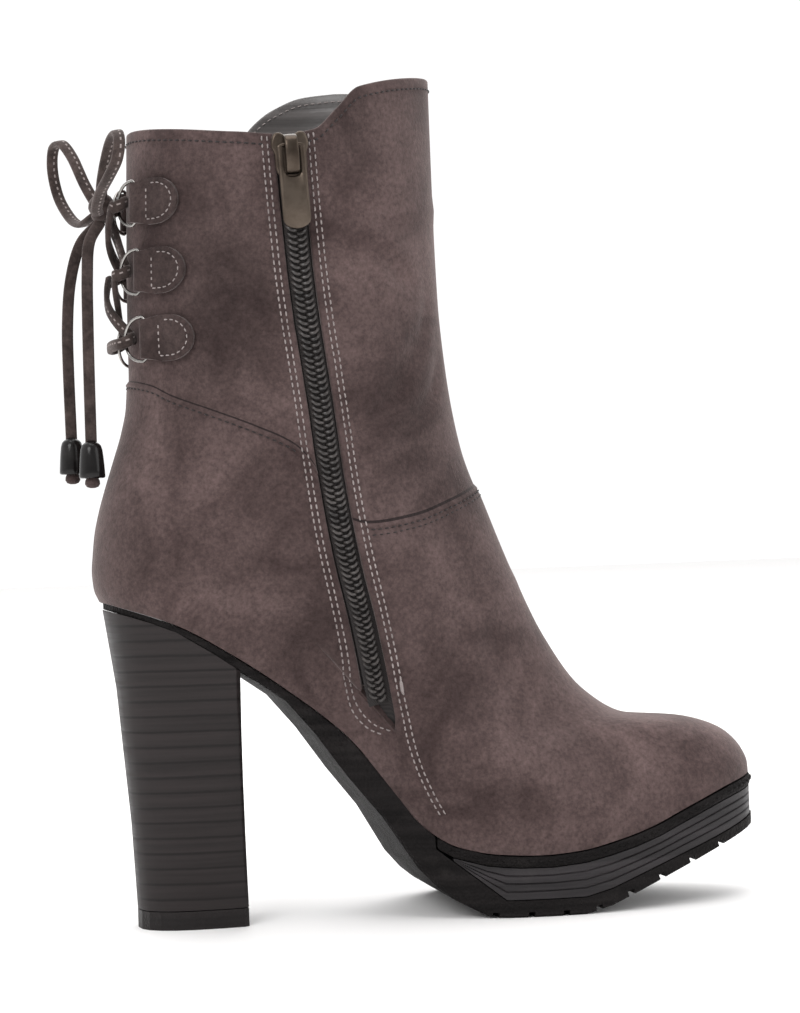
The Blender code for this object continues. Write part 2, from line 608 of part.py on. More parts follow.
def make_tab(name, side, place, material):
    # strip of suede folded round the ring's bar and laid flat on the shaft, round at its far end
    row_z, centre, height = place["z"], place["bar_angle"], RING["bar_height"]
    rolls, slab_length = 8, TAB["length"]
    points, per_row = [], 2 * rolls + 4
    rows = (-1.0, -0.8, 0.0, 0.8, 1.0)
    for v in rows:
        fold_z = row_z + TAB["fold_half"] * v
        wide_z = row_z + TAB["half"] * v
        for radius in (TAB["roll"], TAB["bore"]):
            for k in range(rolls):
                angle = 2 * math.pi * (k + 0.5) / rolls
                delta = centre + radius * math.cos(angle) / ARC
                points.append(skin(side * delta, fold_z, height + radius * math.sin(angle)))
        end = slab_length - TAB["half"] * (1 - math.sqrt(1 - (0.99 * v) ** 2))
        for reach in (min(8.0, end - 1.0), end):
            for out in (TAB["lift"], TAB["lift"] + TAB["thick"]):
                points.append(skin(side * (centre + reach / ARC), wide_z, out))
    faces = []
    outer = list(range(rolls))
    bore = list(range(rolls, 2 * rolls))
    low_near, high_near, low_far, high_far = range(2 * rolls, 2 * rolls + 4)
    ring = outer + [low_near, low_far, high_far, high_near]
    # the slab leaves the roll between its last and first points
    for r in range(len(rows) - 1):
        base, above = r * per_row, (r + 1) * per_row
        for i, a in enumerate(ring):
            b = ring[(i + 1) % len(ring)]
            faces.append((base + a, base + b, above + b, above + a))
        for i, a in enumerate(bore):
            b = bore[(i + 1) % rolls]
            faces.append((base + b, base + a, above + a, above + b))
    for base in (0, (len(rows) - 1) * per_row):
        for k in range(rolls):
            j = (k + 1) % rolls
            faces.append((base + outer[k], base + outer[j], base + bore[j], base + bore[k]))
        first, last = base + outer[0], base + outer[-1]
        faces.append((first, last, base + low_near, base + high_near))
        faces.append((base + low_near, base + low_far, base + high_far, base + high_near))
    return add_solid(name, points, faces, material)


def sweep(name, material, route, ups, section, closed=False):
    # section points are across and out; ups gives the across direction at each point
    rings = []
    count = len(route)
    for i, point in enumerate(route):
        before = route[(i - 1) % count] if closed or i > 0 else route[i]
        after = route[(i + 1) % count] if closed or i < count - 1 else route[i]
        along = (after - before).normalized()
        across = (ups[i] - along * ups[i].dot(along)).normalized()
        out = along.cross(across)
        rings.append([point + across * a + out * b for a, b in section])
    if not closed:
        return lofted(name, rings, material)
    points = [p for ring in rings for p in ring]
    n = len(section)
    faces = grid_faces(count, n, close=True)
    last = (count - 1) * n
    faces += [(last + i, last + (i + 1) % n, (i + 1) % n, i) for i in range(n)]
    return add_solid(name, points, faces, material)


def make_ring(name, side, place, material):
    half, depth = RING["half_height"], RING["depth"]
    row_z, centre = place["z"], place["bar_angle"]
    bar_end, corner, steps = 0.88 * half, 1.0, 12
    flat = [(corner, -half), (0.0, -bar_end), (0.0, 0.0), (0.0, bar_end), (corner, half)]
    for i in range(1, steps):
        angle = math.pi / 2 - math.pi * i / steps
        flat.append((depth * math.cos(angle) ** 0.75, half * math.sin(angle)))
    route, ups = [], []
    for u, dz in flat:
        out = RING["bar_height"] + (RING["tip_height"] - RING["bar_height"]) * u / depth
        delta = side * (centre - u / ARC)
        route.append(skin(delta, row_z + dz, out))
        ups.append(skin(delta, row_z + dz, out + 1.0) - route[-1])
    wire = RING["wire"]
    section = [(wire * math.cos(math.pi * k / 3), wire * math.sin(math.pi * k / 3)) for k in range(6)]
    sweep(name, material, route, ups, section, closed=True)


def through_ring(side, place):
    # over a ring's arc, round it and out under it; stops are angle, height and distance out
    tip = place["bar_angle"] - RING["depth"] / ARC
    bend, climb, steps = LACE["bend"], 1.2, 6
    stops = []
    for k in range(steps + 1):
        turn = math.pi * (1 - k / steps)
        stops.append((side * (tip + bend * math.sin(turn) / ARC), place["z"] + climb * math.cos(turn),
                      RING["tip_height"] - bend * math.cos(turn)))
    return stops


def smooth_route(stops, spacing):
    # points at equal steps on a smooth curve through the stops
    stops = [Vector(s) for s in stops]
    ends = [stops[0] * 2 - stops[1]] + stops + [stops[-1] * 2 - stops[-2]]
    fine = []
    for i in range(1, len(ends) - 2):
        a, b, c, d = ends[i - 1:i + 3]
        for k in range(20):
            u = k / 20
            fine.append(0.5 * (2 * b + (c - a) * u + (2 * a - 5 * b + 4 * c - d) * u * u
                               + (3 * b - a - 3 * c + d) * u ** 3))
    fine.append(stops[-1])
    total = sum((q - p).length for p, q in zip(fine, fine[1:]))
    count = max(2, round(total / spacing))
    route, walked, wanted = [fine[0]], 0.0, total / count
    for p, q in zip(fine, fine[1:]):
        step = (q - p).length
        while walked + step >= wanted - 1e-9 and len(route) < count:
            route.append(p.lerp(q, (wanted - walked) / step))
            wanted += total / count
        walked += step
    route.append(fine[-1])
    return route


def lace_half(side):
    # from the lowest ring up to the knot, changing sides between the rows
    over, under = 6.1, 3.0
    top, middle, bottom = RING_ROWS
    crossing = under if side == LATERAL else over
    stops = through_ring(side, bottom)
    stops.append((0.0, (bottom["z"] + middle["z"]) / 2, crossing))
    stops += through_ring(-side, middle)
    stops.append((0.0, (middle["z"] + top["z"]) / 2, crossing))
    stops += through_ring(side, top)
    stops.append((side * 1.8, top["z"] + 1.2, 2.9))
    return stops


def make_lace_crossings(material):
    # one strand: a bar across the lowest pair of rings, both ends crossing up to the knot
    bar = [(0.0, RING_ROWS[-1]["z"] - 1.4, 5.8)]
    stops = lace_half(MEDIAL)[::-1] + bar + lace_half(LATERAL)
    # stops carry angle, height and distance out; smooth them before they go onto the shaft
    flat = smooth_route([(a * ARC, z, out) for a, z, out in stops], 2.6)
    route = [skin(p.x / ARC, p.y, p.z) for p in flat]
    ups = [Vector((0.0, 0.0, 1.0))] * len(route)
    half, thick = LACE["width"] / 2, LACE["thick"] / 2
    section = [(-half, 0.0), (-half * 0.7, -thick), (half * 0.7, -thick),
               (half, 0.0), (half * 0.7, thick), (-half * 0.7, thick)]
    sweep("lace_crossings", material, route, ups, section)


def add_cord(name, stops, material):
    route = smooth_route(stops, 4.2)
    data = bpy.data.curves.new(name, "CURVE")
    data.dimensions = "3D"
    data.bevel_depth = CORD_RADIUS * METRES
    data.bevel_resolution = 2
    data.use_fill_caps = True
    spline = data.splines.new("POLY")
    spline.points.add(len(route) - 1)
    for point, place in zip(spline.points, route):
        point.co = (*(place * METRES), 1.0)
    data.materials.append(material)
    thing = bpy.data.objects.new(name, data)
    bpy.context.scene.collection.objects.link(thing)


def add_turned(name, place, profile, material, sides=10):
    # profile rows are height below the place, then radius
    rings = []
    for drop, radius in profile:
        rings.append([(place[0] + radius * math.cos(2 * math.pi * k / sides),
                       place[1] + radius * math.sin(2 * math.pi * k / sides), place[2] - drop)
                      for k in range(sides)])
    lofted(name, rings, material)


def make_bow(materials):
    suede, gloss = materials["suede"], materials["black_gloss"]
    place, half = KNOT["place"], KNOT["half"]
    rings = []
    for i in range(1, 8):
        angle = math.pi * i / 8
        rings.append([(place[0] + half[0] * math.sin(angle) * math.cos(2 * math.pi * k / 12),
                       place[1] + half[1] * math.sin(angle) * math.sin(2 * math.pi * k / 12),
                       place[2] - half[2] * math.cos(angle)) for k in range(12)])
    lofted("bow_knot", rings, suede)
    for name, stops in (("bow_loop_medial", MEDIAL_LOOP), ("bow_loop_lateral", LATERAL_LOOP),
                        ("lace_end_medial", MEDIAL_END), ("lace_end_lateral", LATERAL_END)):
        add_cord(name, stops, suede)
    length, nub = TIP["length"], TIP["nub"]
    profile = ((0.0, 1.5), (0.6, TIP["top"] - 0.3), (2.4, TIP["top"] + 0.5), (5.5, TIP["bottom"] - 0.8),
               (length - 0.8, TIP["bottom"]), (length, TIP["bottom"] - 0.3), (length, nub),
               (length + 2.2, nub + 0.3), (length + 3.2, nub - 0.6))
    for name, stops in (("lace_tip_medial", MEDIAL_END), ("lace_tip_lateral", LATERAL_END)):
        x, y, z = stops[-1]
        add_turned(name, (x, y, z - GAP), profile, gloss)


def clear_scene():
    for thing in list(bpy.data.objects):
        bpy.data.objects.remove(thing)


def main():
    clear_scene()
    materials = make_materials()
    make_upper(materials["suede"])
    make_sole(materials)
    make_heel(materials)
    make_zip(materials)
    for side, word in ((MEDIAL, "medial"), (LATERAL, "lateral")):
        for number, place in enumerate(RING_ROWS, 1):
            make_tab(f"ring_tab_{word}_{number}", side, place, materials["suede"])
            make_ring(f"d_ring_{word}_{number}", side, place, materials["bright_metal"])
    make_lace_crossings(materials["suede"])
    make_bow(materials)


main()
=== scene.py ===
# Dress for a left ankle boot in taupe suede: laced up the back, zipped on the inner side.
# Sizes in the tables are millimetres, as in the part's source; meshes are made in metres.
from bisect import bisect_right
from math import acos, copysign, cos, exp, hypot, pi, radians, sin, sqrt

import bmesh
import bpy
from mathutils.bvhtree import BVHTree
from mathutils import Matrix, Vector


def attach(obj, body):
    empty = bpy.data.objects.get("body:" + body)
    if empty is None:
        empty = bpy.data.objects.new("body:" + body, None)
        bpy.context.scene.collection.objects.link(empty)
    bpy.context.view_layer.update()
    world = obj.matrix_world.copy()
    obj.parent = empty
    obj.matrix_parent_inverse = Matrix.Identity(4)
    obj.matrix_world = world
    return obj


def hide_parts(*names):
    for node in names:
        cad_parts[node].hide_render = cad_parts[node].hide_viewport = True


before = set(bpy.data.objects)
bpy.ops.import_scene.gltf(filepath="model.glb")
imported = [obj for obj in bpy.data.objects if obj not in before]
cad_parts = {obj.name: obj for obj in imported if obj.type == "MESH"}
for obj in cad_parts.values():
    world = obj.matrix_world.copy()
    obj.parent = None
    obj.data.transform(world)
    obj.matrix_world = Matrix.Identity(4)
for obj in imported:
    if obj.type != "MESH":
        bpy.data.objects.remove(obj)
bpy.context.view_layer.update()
mm = 0.001
medial, lateral = -1, 1
sideWords = {medial: "medial", lateral: "lateral"}


def rowsOf(names, *rows):
    return [dict(zip(names.split(), row)) for row in rows]


# the upper's form, repeated from the part's source
levels = rowsOf(
    "backX backZ frontX frontZ heel waist ball toe heelRound toeRound fade",
    (-25.4, 108.0, 192.5, 41.6, 26.5, 22.0, 40.0, 34.0, 0.12, 0.30, 1.00),
    (-27.0, 112.0, 192.4, 44.6, 28.0, 23.2, 40.8, 34.6, 0.13, 0.31, 0.95),
    (-27.5, 117.5, 190.6, 49.2, 28.8, 24.4, 41.0, 34.6, 0.13, 0.33, 0.88),
    (-27.0, 123.5, 184.4, 55.6, 29.2, 25.4, 40.0, 34.0, 0.14, 0.37, 0.80),
    (-26.2, 130.0, 170.8, 60.4, 29.2, 26.2, 38.0, 33.0, 0.15, 0.42, 0.70),
    (-24.6, 137.0, 151.5, 62.4, 29.2, 27.0, 35.5, 32.0, 0.17, 0.44, 0.58),
    (-22.2, 145.0, 136.2, 71.4, 29.4, 28.0, 33.8, 30.0, 0.20, 0.45, 0.46),
    (-19.2, 154.0, 123.8, 88.8, 29.8, 29.2, 32.6, 29.0, 0.25, 0.46, 0.34),
    (-16.3, 163.0, 114.2, 109.4, 30.4, 30.4, 32.0, 29.6, 0.32, 0.47, 0.23),
    (-14.4, 172.0, 105.0, 133.2, 31.2, 31.4, 32.0, 30.6, 0.40, 0.48, 0.14),
    (-13.8, 183.0, 97.2, 155.6, 32.2, 32.4, 32.6, 32.0, 0.46, 0.50, 0.07),
    (-13.7, 196.0, 93.2, 180.0, 33.4, 33.4, 33.4, 33.4, 0.50, 0.50, 0.02),
    (-13.4, 212.0, 91.2, 205.0, 34.6, 34.6, 34.6, 34.6, 0.50, 0.50, 0.00),
    (-12.9, 229.0, 90.6, 231.0, 35.6, 35.6, 35.6, 35.6, 0.50, 0.50, 0.00),
    (-12.4, 245.0, 90.4, 256.0, 36.2, 36.2, 36.2, 36.2, 0.50, 0.50, 0.00),
    (-11.8, 261.4, 90.3, 278.4, 36.7, 36.7, 36.7, 36.7, 0.50, 0.50, 0.00),
)
upperForm = dict(
    widthAt=((0.10, "heel"), (0.36, "waist"), (0.62, "ball"), (0.84, "toe")),
    feather=((-25.4, 108.0), (-5.0, 100.5), (15.0, 89.0), (32.0, 77.3), (51.0, 62.0), (60.0, 51.8),
             (68.0, 40.2), (76.0, 29.8), (86.0, 23.5), (98.0, 21.0), (112.0, 20.3), (124.0, 21.0),
             (138.0, 23.8), (150.0, 27.2), (165.5, 33.4), (179.5, 38.4), (192.5, 41.6)),
    swing=((0.0, 0.0), (0.10, 0.0), (0.36, 3.5), (0.55, 3.5), (0.68, 1.0), (0.85, -4.0), (1.0, -7.0)),
    dip=((0.0, 0.0), (0.12, -3.9), (0.30, -9.2), (0.50, -13.4), (0.55, -13.2),
         (0.63, -7.6), (0.71, -1.5), (0.85, -0.3), (1.0, 0.0)),
    farDip=((0.0, 0.0), (0.12, -3.9), (0.26, -8.4), (0.37, -9.8), (0.42, -5.4), (0.47, 0.0),
            (0.54, 4.2), (0.64, 6.6), (0.74, 5.8), (0.84, 3.4), (0.94, 1.2), (1.0, 0.0)),
    dipStart=0.80,
    seam=((-14.2, 180.0), (-8.0, 177.5), (-2.6, 174.0), (10.3, 168.4), (23.3, 162.9), (35.1, 157.0),
          (41.0, 151.0), (47.0, 140.0), (52.0, 132.5), (60.0, 130.5), (75.0, 132.5), (90.0, 137.5),
          (104.0, 143.2)),
    wall=1.8, overlay=0.7, seamSoft=0.8, edgeDrop=0.35, edgeReach=0.0035,
    # ridge and groove beside the overlay's edge, and the back seam: depth, place and reach
    ridge=(0.28, 0.9, 0.6), groove=(0.30, 2.0, 0.5), backSeam=(0.45, 0.0, 0.9), backSeamTop=176,
    foldStrength=1.7, foldBend=0.02, deepest=1.2,
)
zipForm = dict(
    line=((66.0, 61.6), (74.0, 60.2), (97.6, 56.2), (121.0, 51.3), (145.0, 47.4), (168.0, 44.6),
          (213.0, 38.8), (257.0, 35.7), (262.0, 35.5)),
    slot=8.8, foot=76.0, top=255.6, pitch=2.0, toothWidth=1.0, tape=(57.0, 257.0), steps=60,
    tooth=((0.12, -1.0, 0.1), (0.36, -0.2, 0.0), (1.3, 0.2, 0.1), (2.1, 0.12, 0.45), (2.8, -0.3, 1.1),
           (3.05, -1.1, 1.7)),
)
ringRows = rowsOf("z bar", (237.5, 20.5), (215.0, 23.5), (193.0, 26.5))
ringForm = dict(wire=0.54, halfHeight=7.3, depth=7.6, barHeight=2.3, tipHeight=4.4)
tabForm = dict(roll=2.0, length=16.0, lift=0.6, thick=1.6, foldHalf=6.3, half=7.5)
# arc is the millimetres round the shaft that a degree takes up, and dash the lace's stitch
laceForm = dict(width=3.8, thick=1.9, bend=2.35, arc=0.69, dash=2.4)
bow = dict(
    knot=(-21.0, -0.6, 237.6), knotHalf=(4.4, 6.2, 5.2),
    loops={
        medial: ((-21.4, -5.2, 239.5), (-21.6, -10.0, 244.5), (-20.8, -18.0, 251.5), (-19.8, -26.0, 256.4),
                 (-18.8, -34.0, 257.5), (-18.8, -39.5, 253.5), (-19.8, -39.0, 248.0), (-21.8, -32.0, 243.5),
                 (-23.4, -22.0, 240.0), (-23.8, -12.0, 236.4), (-22.8, -6.0, 235.2)),
        lateral: ((-22.4, 4.9, 239.8), (-25.5, 9.0, 247.0), (-28.5, 15.5, 256.5), (-31.4, 22.5, 262.3),
                  (-33.4, 30.0, 261.5), (-33.6, 34.0, 254.5), (-32.0, 31.5, 245.0), (-29.0, 23.0, 237.0),
                  (-26.8, 13.5, 233.8), (-25.0, 7.0, 234.2), (-22.6, 3.4, 235.8))},
    ends={
        medial: ((-21.9, -2.1, 232.6), (-26.0, -5.5, 225.5), (-27.2, -7.6, 214.0), (-27.6, -8.4, 200.0),
                 (-27.8, -8.5, 183.0), (-27.9, -8.5, 160.2)),
        lateral: ((-22.0, 1.9, 232.8), (-28.0, 4.6, 226.0), (-31.4, 7.0, 214.0), (-32.7, 8.2, 200.0),
                  (-32.9, 8.5, 185.0), (-32.7, 8.5, 162.0))},
)
# soft folds pressed into the shaft: place, direction, length and width, and how deep they go
folds = rowsOf(
    "side x z turn length width depth",
    (medial, 30, 194, 8, 9, 1.6, -0.8), (medial, 73, 212, -30, 6, 2.2, -0.9),
    (medial, 78, 186, 52, 16, 2.6, -1.0), (medial, 70, 172, 46, 14, 2.6, -0.9),
    (medial, 84, 172, 58, 13, 2.4, -0.8), (medial, 60, 190, 18, 11, 2.6, 0.6),
    (medial, 66, 224, -18, 12, 3.2, 0.5), (medial, 26, 178, -20, 13, 3.0, 0.5),
    (medial, 80, 232, 30, 12, 3.4, 0.5), (medial, 96, 96, 62, 16, 4.0, 0.5),
    (medial, 106, 76, 30, 12, 3.0, -0.5), (lateral, 60, 178, 40, 20, 2.8, -1.0),
    (lateral, 44, 190, 28, 18, 2.8, -0.8), (lateral, 72, 166, 48, 18, 2.8, -0.9),
    (lateral, 30, 206, -14, 16, 3.4, 0.6), (lateral, 84, 200, 56, 18, 3.0, 0.5),
    (lateral, 100, 90, 58, 18, 3.6, -0.5), (lateral, 14, 186, -22, 14, 3.0, -0.6),
)


def smoothCurve(points):
    # smooth curve through a table's points that never swings past them
    xs, ys = [p[0] for p in points], [p[1] for p in points]
    slopes = [(ys[i + 1] - ys[i]) / (xs[i + 1] - xs[i]) for i in range(len(xs) - 1)]
    tangents = [slopes[0]]
    for before, after in zip(slopes, slopes[1:]):
        tangents.append(0.0 if before * after <= 0 else 2 * before * after / (before + after))
    tangents.append(slopes[-1])

    def value(x):
        if x <= xs[0]:
            return ys[0]
        if x >= xs[-1]:
            return ys[-1]
        k = bisect_right(xs, x) - 1
        span = xs[k + 1] - xs[k]
        u = (x - xs[k]) / span
        return (ys[k] * (1 + 2 * u) * (1 - u) ** 2 + ys[k + 1] * u * u * (3 - 2 * u)
                + span * u * (1 - u) * (tangents[k] * (1 - u) - tangents[k + 1] * u))
    return value


levelCurves = {name: smoothCurve([(i / (len(levels) - 1), level[name]) for i, level in enumerate(levels)])
               for name in levels[0]}
featherAt, swingAt, dipAt, farDipAt, seamAt = [
    smoothCurve(upperForm[name]) for name in ("feather", "swing", "dip", "farDip", "seam")]
zipLineAt = smoothCurve(zipForm["line"])
knownLevels = {}


def levelAt(t):
    key = round(t, 5)
    if key not in knownLevels:
        level = {name: value(key) for name, value in levelCurves.items()}
        level["half"] = smoothCurve([(at, level[name]) for at, name in upperForm["widthAt"]])
        knownLevels[key] = level
    return knownLevels[key]


def smoothStep(u):
    u = min(max(u, 0.0), 1.0)
    return u * u * (3 - 2 * u)


def upperPoint(phi, t):
    # phi runs round the boot from the toe (0) by the outer side to the back (pi); t runs up
    level = levelAt(t)
    s = (1 + cos(phi)) / 2
    half = level["half"](s)
    for length, away in ((level["heelRound"], s), (level["toeRound"], 1 - s)):
        if away < length:
            half *= sqrt(max(0.0, 1 - ((length - away) / length) ** 2))
    feather = upperForm["feather"]
    footX = feather[0][0] + s * (feather[-1][0] - feather[0][0])
    chord = feather[0][1] + s * (feather[-1][1] - feather[0][1])
    z = level["backZ"] + s * (level["frontZ"] - level["backZ"])
    z += level["fade"] * (featherAt(footX) - chord)
    outward, dipStart = sin(phi) > 0, upperForm["dipStart"]
    z += (farDipAt if outward else dipAt)(s) * smoothStep((t - dipStart) / (1 - dipStart))
    x = level["backX"] + s * (level["frontX"] - level["backX"])
    y = swingAt(s) * level["fade"] + half * (1 if outward else -1)
    return Vector((x, y, z))


def upperNormal(phi, t):
    d = 1e-3
    low, high = max(t - d, 0.0), min(t + d, 1.0)
    around = upperPoint(phi + d, t) - upperPoint(phi - d, t)
    return around.cross(upperPoint(phi, high) - upperPoint(phi, low)).normalized()


def solve(function, low=0.0, high=1.0):
    for _ in range(22):
        middle = (low + high) / 2
        if function(middle) < 0:
            low = middle
        else:
            high = middle
    return (low + high) / 2


def angleAt(side, x, t):
    level = levelAt(t)
    s = (x - level["backX"]) / (level["frontX"] - level["backX"])
    return side * acos(min(max(2 * s - 1, -1.0), 1.0))


def onSide(side, x, z):
    # angle and level of the point of one side at x and z
    phi = side * pi / 2
    for _ in range(8):
        t = solve(lambda u: upperPoint(phi, u).z - z)
        phi = angleAt(side, x, t)
    return phi, t


def seamProud(x, z):
    return upperForm["overlay"] * smoothStep((seamAt(x) - z) / upperForm["seamSoft"] + 0.5)


def sidePoint(side, x, z, out):
    phi, t = onSide(side, x, z)
    normal = upperNormal(phi, t)
    point = upperPoint(phi, t)
    return point + normal * (out + seamProud(point.x, point.z) + relief(point)), normal


def skin(delta, z, out):
    # point over the back of the shaft: delta degrees from the back seam (outer side positive)
    phi = copysign(pi - radians(abs(delta)), delta)
    t = solve(lambda u: upperPoint(phi, u).z - z)
    return upperPoint(phi, t) + upperNormal(phi, t) * out


def relief(point):
    # folds and pressed places of the suede, as a distance out
    total = 0.0
    side = lateral if point.y > 0 else medial
    for fold in folds:
        if fold["side"] != side:
            continue
        dx, dz = point.x - fold["x"], point.z - fold["z"]
        turn = radians(fold["turn"])
        along = dx * cos(turn) + dz * sin(turn)
        across = -dx * sin(turn) + dz * cos(turn)
        across -= upperForm["foldBend"] * along * along * (1 if fold["depth"] < 0 else -1)
        reach = (along / fold["length"]) ** 2 + (across / fold["width"]) ** 2
        if reach < 9:
            total += upperForm["foldStrength"] * fold["depth"] * exp(-reach)
    return max(total, -upperForm["deepest"])


# nodes: shared effects are node groups, and each shader stays in its own material
def addObject(name, data):
    thing = bpy.data.objects.new(name, data)
    bpy.context.scene.collection.objects.link(thing)
    return thing


def feed(tree, node, inputs):
    # a socket is linked and a plain value is set
    for name, value in dict(inputs).items():
        if isinstance(value, bpy.types.NodeSocket):
            tree.links.new(value, node.inputs[name])
        else:
            node.inputs[name].default_value = value


def addNode(tree, kind, inputs=(), **settings):
    node = tree.nodes.new(kind)
    for name, value in settings.items():
        setattr(node, name, value)
    feed(tree, node, inputs)
    return node


def reckon(tree, operation, *values):
    return addNode(tree, "ShaderNodeMath", enumerate(values), operation=operation).outputs["Value"]


def ranged(tree, value, low, high, toLow=0.0, toHigh=1.0, **settings):
    inputs = {"Value": value, "From Min": low, "From Max": high, "To Min": toLow, "To Max": toHigh}
    return addNode(tree, "ShaderNodeMapRange", inputs, **settings).outputs["Result"]


def noise(tree, vector, scale, detail, **more):
    inputs = {"Vector": vector, "Scale": scale, "Detail": detail, **more}
    return addNode(tree, "ShaderNodeTexNoise", inputs).outputs["Fac"]


def mixed(tree, factor, low, high):
    low, high = [tone if isinstance(tone, bpy.types.NodeSocket) else (*tone, 1) for tone in (low, high)]
    return addNode(tree, "ShaderNodeMix", {0: factor, 6: low, 7: high}, data_type="RGBA").outputs[2]


def startGroup(name, scales, results):
    # a group takes a vector and scales, and gives plain values
    tree = bpy.data.node_groups.new(name, "ShaderNodeTree")
    tree.interface.new_socket("Vector", in_out="INPUT", socket_type="NodeSocketVector")
    for label, value in scales.items():
        socket = tree.interface.new_socket(label, in_out="INPUT", socket_type="NodeSocketFloat")
        socket.default_value = value
    for label in results:
        tree.interface.new_socket(label, in_out="OUTPUT", socket_type="NodeSocketFloat")
    return tree, tree.nodes.new("NodeGroupInput").outputs, tree.nodes.new("NodeGroupOutput")


def startMaterial(name, **sockets):
    material = bpy.data.materials.new(name)
    material.use_nodes = True
    tree = material.node_tree
    shader = tree.nodes["Principled BSDF"]
    feed(tree, shader, {label.replace("_", " "): value for label, value in sockets.items()})
    return material, tree, shader


def grouped(tree, group, scales=()):
    # the outputs of a shared effect, laid out by the object's own coordinates
    node = addNode(tree, "ShaderNodeGroup", node_tree=group)
    where = addNode(tree, "ShaderNodeTexCoord").outputs["Object"]
    feed(tree, node, {"Vector": where, **dict(scales)})
    return node.outputs


def dress(tree, shader, colour, roughness, height, strength, distance):
    bump = addNode(tree, "ShaderNodeBump", {"Height": height, "Strength": strength, "Distance": distance})
    feed(tree, shader, {"Base Color": colour, "Roughness": roughness, "Normal": bump.outputs["Normal"]})


# camera and light
cameraForm = dict(
    place=(-0.1138, -0.8787, 0.130), right=(0.97630, -0.21644, 0.0), back=(-0.21644, -0.97630, 0.0),
    lens=94.5, sensor=36.0, roll=2.0, shift=(-0.0140, 0.0168), clip=(0.01, 20.0),
)


def makeCamera():
    form = cameraForm
    right, back, up = Vector(form["right"]), Vector(form["back"]), Vector((0, 0, 1))
    turn = radians(form["roll"])
    right, up = (right * cos(turn) - up * sin(turn),
                 up * cos(turn) + right * sin(turn))
    data = bpy.data.cameras.new("photoCamera")
    data.sensor_fit = "VERTICAL"
    data.sensor_height, data.lens = form["sensor"], form["lens"]
    data.shift_x, data.shift_y = form["shift"]
    data.clip_start, data.clip_end = form["clip"]
    camera = addObject("photoCamera", data)
    axes = Matrix((right, up, back)).transposed().to_4x4()
    camera.matrix_world = Matrix.Translation(Vector(form["place"])) @ axes
    bpy.context.scene.camera = camera


lightTable = rowsOf(
    "name place aim size power",
    ("keyLight", (-0.75, -1.15, 1.05), (0.05, 0, 0.13), 0.8, 9.0),
    ("fillLight", (1.2, -0.9, 0.75), (0.08, 0, 0.12), 1.0, 3.5),
    ("backLight", (0.2, 1.3, 1.2), (0.05, 0, 0.12), 1.2, 4.0),
    ("topLight", (0.15, -0.1, 1.7), (0.05, 0, 0.0), 1.2, 8.0),
    ("farLight", (0.2, 2.6, 2.2), (0.2, 2.6, 0.0), 3.4, 28.0),
)
# the room is dimmer behind the camera, so that the near side keeps its form
roomForm = dict(near=-0.8, far=-0.1, nearStrength=0.5, farStrength=1.06)
floorForm = dict(half=6.0, colour=(0.985, 0.975, 0.97, 1), roughness=0.8)


def makeStudio():
    for row in lightTable:
        data = bpy.data.lights.new(row["name"], "AREA")
        data.shape, data.size, data.energy = "DISK", row["size"], row["power"]
        light = addObject(row["name"], data)
        light.location = row["place"]
        aim = Vector(row["aim"]) - light.location
        light.rotation_euler = aim.to_track_quat("-Z", "Y").to_euler()
    world = bpy.data.worlds.new("paleRoom")
    world.use_nodes = True
    tree = world.node_tree
    direction = addNode(tree, "ShaderNodeTexCoord").outputs["Generated"]
    split = addNode(tree, "ShaderNodeSeparateXYZ", {"Vector": direction})
    strength = ranged(tree, split.outputs["Y"], roomForm["near"], roomForm["far"],
                      roomForm["nearStrength"], roomForm["farStrength"])
    feed(tree, tree.nodes["Background"], {"Color": (1, 1, 1, 1), "Strength": strength})
    bpy.context.scene.world = world
    half = floorForm["half"]
    mesh = bpy.data.meshes.new("studioFloor")
    mesh.from_pydata([(-half, -half, 0), (half, -half, 0), (half, half, 0), (-half, half, 0)], [],
                     [(0, 1, 2, 3)])
    floor = addObject("studioFloor", mesh)
    mesh.materials.append(startMaterial("paleFloor", Base_Color=floorForm["colour"],
                                        Roughness=floorForm["roughness"])[0])


makeCamera()
makeStudio()
print("camera, lights and floor are set")


# materials
def makeNapGroup():
    # brushed suede: wide cloudy patches, short nap and a height for the bump
    tree, given, end = startGroup("suedeNap", {"Patch Scale": 32.0, "Nap Scale": 700.0},
                                  ("Patches", "Nap", "Height"))
    vector = given["Vector"]
    patches = noise(tree, vector, given["Patch Scale"], 5.0, Roughness=0.62, Distortion=0.5)
    nap = noise(tree, vector, given["Nap Scale"], 4.0, Roughness=0.7)
    stretch = addNode(tree, "ShaderNodeMapping", {"Vector": vector, "Scale": (1.0, 1.0, 0.35)})
    hairs = noise(tree, stretch.outputs["Vector"], 2400.0, 2.0)
    feed(tree, end, {"Patches": ranged(tree, patches, 0.36, 0.64), "Nap": ranged(tree, nap, 0.30, 0.70),
                     "Height": reckon(tree, "MULTIPLY_ADD", hairs, 0.5, nap)})
    return tree


def makeGrainGroup():
    # moulded surface: fine stipple, and streaks that run round the object level with the ground
    tree, given, end = startGroup("mouldGrain", {"Stipple Scale": 900.0, "Streak Scale": 420.0},
                                  ("Stipple", "Streaks", "Dust"))
    vector = given["Vector"]
    stipple = addNode(tree, "ShaderNodeTexVoronoi", {"Vector": vector, "Scale": given["Stipple Scale"]})
    flat = addNode(tree, "ShaderNodeMapping", {"Vector": vector, "Scale": (0.03, 0.03, 1.0)})
    feed(tree, end, {"Stipple": stipple.outputs["Distance"],
                     "Streaks": noise(tree, flat.outputs["Vector"], given["Streak Scale"], 3.0),
                     "Dust": noise(tree, vector, 60.0, 6.0, Roughness=0.7)})
    return tree


napGroup, grainGroup = makeNapGroup(), makeGrainGroup()
